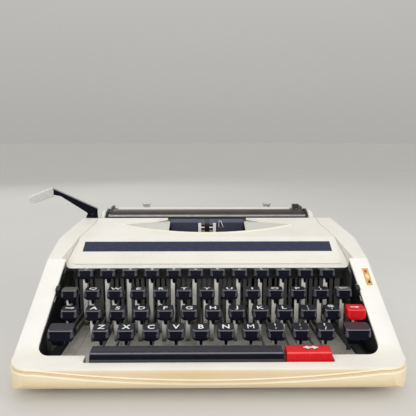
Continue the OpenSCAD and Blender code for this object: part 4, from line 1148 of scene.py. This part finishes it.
class TYPEWRITER_OT_carriage(bpy.types.Operator):
    """Carriage frame, platen, knobs, paper table, margin stops, bail and levers"""

    bl_idname = "typewriter.carriage"
    bl_label = "Carriage"

    def execute(self, context):
        dress("carriage_frame", "dark_paint", 0.3 * MM)
        dress("platen", "platen_rubber", 0.6 * MM)
        dress("platen_shaft", "works_steel", 0.3 * MM)
        dress("platen_knobs", "cream_plastic", 0.3 * MM)
        dress("paper_table", "cream_plastic", 0.3 * MM)
        dress("margin_rail", "works_steel", 0.2 * MM)
        dress("margin_stop_left", "bright_steel", 0.25 * MM)
        dress("margin_stop_right", "bright_steel", 0.25 * MM)
        dress("paper_bail", "works_steel", 0.2 * MM)
        dress("paper_release_lever", "black_plastic", 0.4 * MM)
        self.lever()
        return {"FINISHED"}

    def lever(self):
        """Return lever: a black web on a round hub, a steel strip along its top edge as a painted
        highlight and a bright paddle.
        """
        body = BODY_OF["return_lever"]
        hub = (-126.5, 211.0)
        bend = (-163.3, 195.7)
        tip = (-182.2, 174.1)
        reach = math.dist(hub, bend)
        wide = math.dist(bend, tip)
        hub_profile = ((6.4, 94.1), (6.4, 99.6), (5.9, 100.4), (2.6, 100.6), (2.6, 101.0))
        web_outline = [
            (-6.0, 98.6), (5.2, 98.6), (5.2, 103.0), (32.6, 122.6), (reach, 124.4), (reach, 131.2),
            (-6.0, 107.2)]
        highlight_strip_outline = [(-6.2, 106.6), (reach, 130.6), (reach, 132.0), (-6.2, 108.0)]
        paddle_shares = (
            (0.70, 117.8), (0.82, 117.4), (0.90, 118.4), (0.97, 121.0), (0.99, 122.8), (0.95, 124.4),
            (0.86, 125.6), (0.3, 130.0), (0.1, 131.6))
        paddle_outline = [(-0.3, 122.6), *((share * wide, z) for share, z in paddle_shares), (-0.3, 132.0)]
        web = self.upright(hub, bend, 0.95, web_outline)
        add_loft(web, [[at(hub[0] + radius * x, hub[1] + radius * y, z) for x, y in circle(28)]
                       for radius, z in hub_profile])
        piece = add_piece("return_lever.web", web, body, "key_black", SLOT_OF["return_lever"], 0.25 * MM)
        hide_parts("return_lever")
        # Painted highlight: a steel strip where the top edge catches the light
        strip = self.upright(hub, bend, 2.0, highlight_strip_outline)
        add_piece("return_lever.strip", strip, body, "works_steel", "bright_steel", 0.2 * MM)
        paddle = self.upright(bend, tip, 0.8, paddle_outline)
        add_piece("return_lever.bright", paddle, body, "bright_steel", "bright_steel", 0.3 * MM)

    def upright(self, start, end, half, outline):
        """A flat upright plate along a line in plan; its outline gives the way along it and the height."""
        length = math.dist(start, end)
        along = ((end[0] - start[0]) / length, (end[1] - start[1]) / length)
        rings = []
        for side in (-half, half):
            x = start[0] - along[1] * side
            y = start[1] + along[0] * side
            rings.append([at(x + along[0] * way, y + along[1] * way, height) for way, height in outline])
        mesh = bmesh.new()
        add_loft(mesh, rings)
        return mesh


class TYPEWRITER_OT_controls(bpy.types.Operator):
    """Selector knobs beside the keyboard, the colour label and the embossed scale"""

    bl_idname = "typewriter.controls"
    bl_label = "Controls"

    def execute(self, context):
        dress("ribbon_selector", "black_plastic", 0.5 * MM)
        dress("touch_selector", "black_plastic", 0.5 * MM)
        self.label()
        self.scale()
        return {"FINISHED"}

    def plate(self, mesh, outline, base, top):
        """A thin plate on the sloped top of an arm, with its outline in X and Y."""
        add_loft(mesh, [[at(x, y, frame_top(y) + lift) for x, y in outline] for lift in (base, top)])

    def label(self):
        """Gold label with a red dot, a pale oval and a black pointer."""
        gold = [(134.3, 78.7), (139.4, 78.7), (140.2, 95.7), (134.9, 95.7)]
        pointer = [(135.7, 81.2), (138.4, 80.6), (138.0, 84.2)]
        for name, colour, slot, outline, base, top in (
                ("label.plate", "label_gold", "cream_plastic", gold, -0.1, 0.12),
                ("label.red", "label_red", "black_plastic", self.oval(137.3, 92.6, 1.1, 1.5), 0.08, 0.2),
                ("label.pale", "label_pale", "black_plastic", self.oval(137.3, 87.4, 1.5, 2.2), 0.08, 0.2),
                ("label.black", "black_plastic", "black_plastic", pointer, 0.08, 0.2)):
            mesh = bmesh.new()
            self.plate(mesh, outline, base, top)
            add_piece(name, mesh, "machine", colour, slot)

    def oval(self, x, y, wide, deep):
        """Outline of an oval."""
        return [(x + wide * px, y + deep * py) for px, py in circle(20)]

    def scale(self):
        """Raised strokes of the scale on the left arm: two straight ones and three slanted ones."""
        thick = 0.7
        marks = bmesh.new()
        for left, right, slant, starts in (
                (-139.6, -135.4, 0.0, (80.4, 95.4)), (-138.8, -136.2, 1.8, (83.4, 86.6, 89.8))):
            for y in starts:
                outline = [(left, y), (right, y + slant), (right, y + slant + thick), (left, y + thick)]
                self.plate(marks, outline, -0.1, 0.25)
        add_piece("scale.marks", marks, "machine", "frame_plastic", "cream_plastic")


class TYPEWRITER_OT_stage(bpy.types.Operator):
    """Floor, lamps, even light and camera"""

    bl_idname = "typewriter.stage"
    bl_label = "Stage"

    def execute(self, context):
        stage = context.scene.typewriter_stage
        self.floor(stage)
        self.lamp("Key lamp", stage.key_power, 0.9, (-0.12, -1.25, 0.62))
        self.lamp("Side lamp", stage.fill_power, 1.0, (1.0, -0.5, 0.6))
        self.lamp("Rear lamp", stage.fill_power, 1.2, (-0.5, 1.1, 0.9))
        self.light_world(stage)
        lens = bpy.data.cameras.new("Camera")
        lens.lens = stage.lens
        lens.sensor_width = 36.0
        lens.clip_start = 0.01
        camera = bpy.data.objects.new("Camera", lens)
        camera.location = stage.camera_place
        camera.rotation_euler = (stage.camera_pitch, 0.0, stage.camera_yaw)
        context.collection.objects.link(camera)
        context.scene.camera = camera
        context.scene.view_settings.view_transform = "Standard"
        return {"FINISHED"}

    def floor(self, stage):
        """A wide pale floor with faint mottling, greyer below the key lamp so that it looks even."""
        mesh = bmesh.new()
        bmesh.ops.create_grid(mesh, x_segments=8, y_segments=8, size=30.0)
        data = bpy.data.meshes.new("floor")
        mesh.to_mesh(data)
        mesh.free()
        floor = bpy.data.objects.new("floor", data)
        bpy.context.collection.objects.link(floor)
        tree, shader = start_material("floor", 0.75, specular=0.2)
        mottling = add_range(tree, add_noise(tree, 3.0, 3.0), 0.3, 0.7)
        colour = tuple(stage.floor)
        base = add_mix(tree, mottling, colour, tuple(0.97 * c for c in colour))
        depth = add_place(tree)["Y"]
        fades_in = add_range(tree, depth, -1.7, -0.9)
        fades_out = add_range(tree, depth, -0.95, -0.25, 1.0, 0.0)
        base = add_mix(tree, multiply(tree, fades_out, fades_in), base, tuple(0.6 * c for c in colour))
        feed(tree, shader["Base Color"], base)
        data.materials.append(MATERIALS["floor"])

    def lamp(self, name, power, size, place):
        """A square soft lamp that looks at the machine."""
        target = Vector((0.0, 0.0, 0.05))
        light = bpy.data.lights.new(name, "AREA")
        light.energy = power
        light.size = size
        lamp = bpy.data.objects.new(name, light)
        lamp.location = place
        lamp.rotation_euler = (target - Vector(place)).to_track_quat("-Z", "Y").to_euler()
        bpy.context.collection.objects.link(lamp)

    def light_world(self, stage):
        """Even light that is stronger from above."""
        world = bpy.data.worlds.new("Studio")
        world.use_nodes = True
        tree = world.node_tree
        height = add_range(tree, add_split(tree, "ShaderNodeTexCoord", "Generated")["Z"], 0.0, 0.85)
        light = add_mix(tree, height, tuple(stage.horizon), tuple(stage.sky))
        feed(tree, tree.nodes["Background"].inputs["Color"], light)
        bpy.context.scene.world = world


class TYPEWRITER_PT_panel(bpy.types.Panel):
    """Lists the steps of the dressing and the settings"""

    bl_label = "Typewriter"
    bl_idname = "TYPEWRITER_PT_panel"
    bl_space_type = "VIEW_3D"
    bl_region_type = "UI"
    bl_category = "Typewriter"

    def draw(self, context):
        scene = context.scene
        for step in STEPS:
            self.layout.operator(step.bl_idname)
        for settings in (scene.typewriter_finish, scene.typewriter_keys, scene.typewriter_stage):
            for label in settings.__annotations__:
                self.layout.prop(settings, label)


STEPS = (
    TYPEWRITER_OT_casing,
    TYPEWRITER_OT_keys,
    TYPEWRITER_OT_bars,
    TYPEWRITER_OT_works,
    TYPEWRITER_OT_carriage,
    TYPEWRITER_OT_controls,
    TYPEWRITER_OT_stage,
)
CLASSES = (FinishSettings, KeySettings, StageSettings, *STEPS, TYPEWRITER_PT_panel)


def register():
    """Registers the classes and hangs the settings on the scene."""
    for each in CLASSES:
        bpy.utils.register_class(each)
    bpy.types.Scene.typewriter_finish = bpy.props.PointerProperty(type=FinishSettings)
    bpy.types.Scene.typewriter_keys = bpy.props.PointerProperty(type=KeySettings)
    bpy.types.Scene.typewriter_stage = bpy.props.PointerProperty(type=StageSettings)


def unregister():
    """Takes the settings and the classes away again."""
    del bpy.types.Scene.typewriter_stage
    del bpy.types.Scene.typewriter_keys
    del bpy.types.Scene.typewriter_finish
    for each in reversed(CLASSES):
        bpy.utils.unregister_class(each)


def main():
    """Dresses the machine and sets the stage."""
    register()
    make_materials()
    bpy.ops.typewriter.casing()
    bpy.ops.typewriter.keys()
    bpy.ops.typewriter.bars()
    bpy.ops.typewriter.works()
    bpy.ops.typewriter.carriage()
    bpy.ops.typewriter.controls()
    bpy.ops.typewriter.stage()


if __name__ == "__main__":
    main()
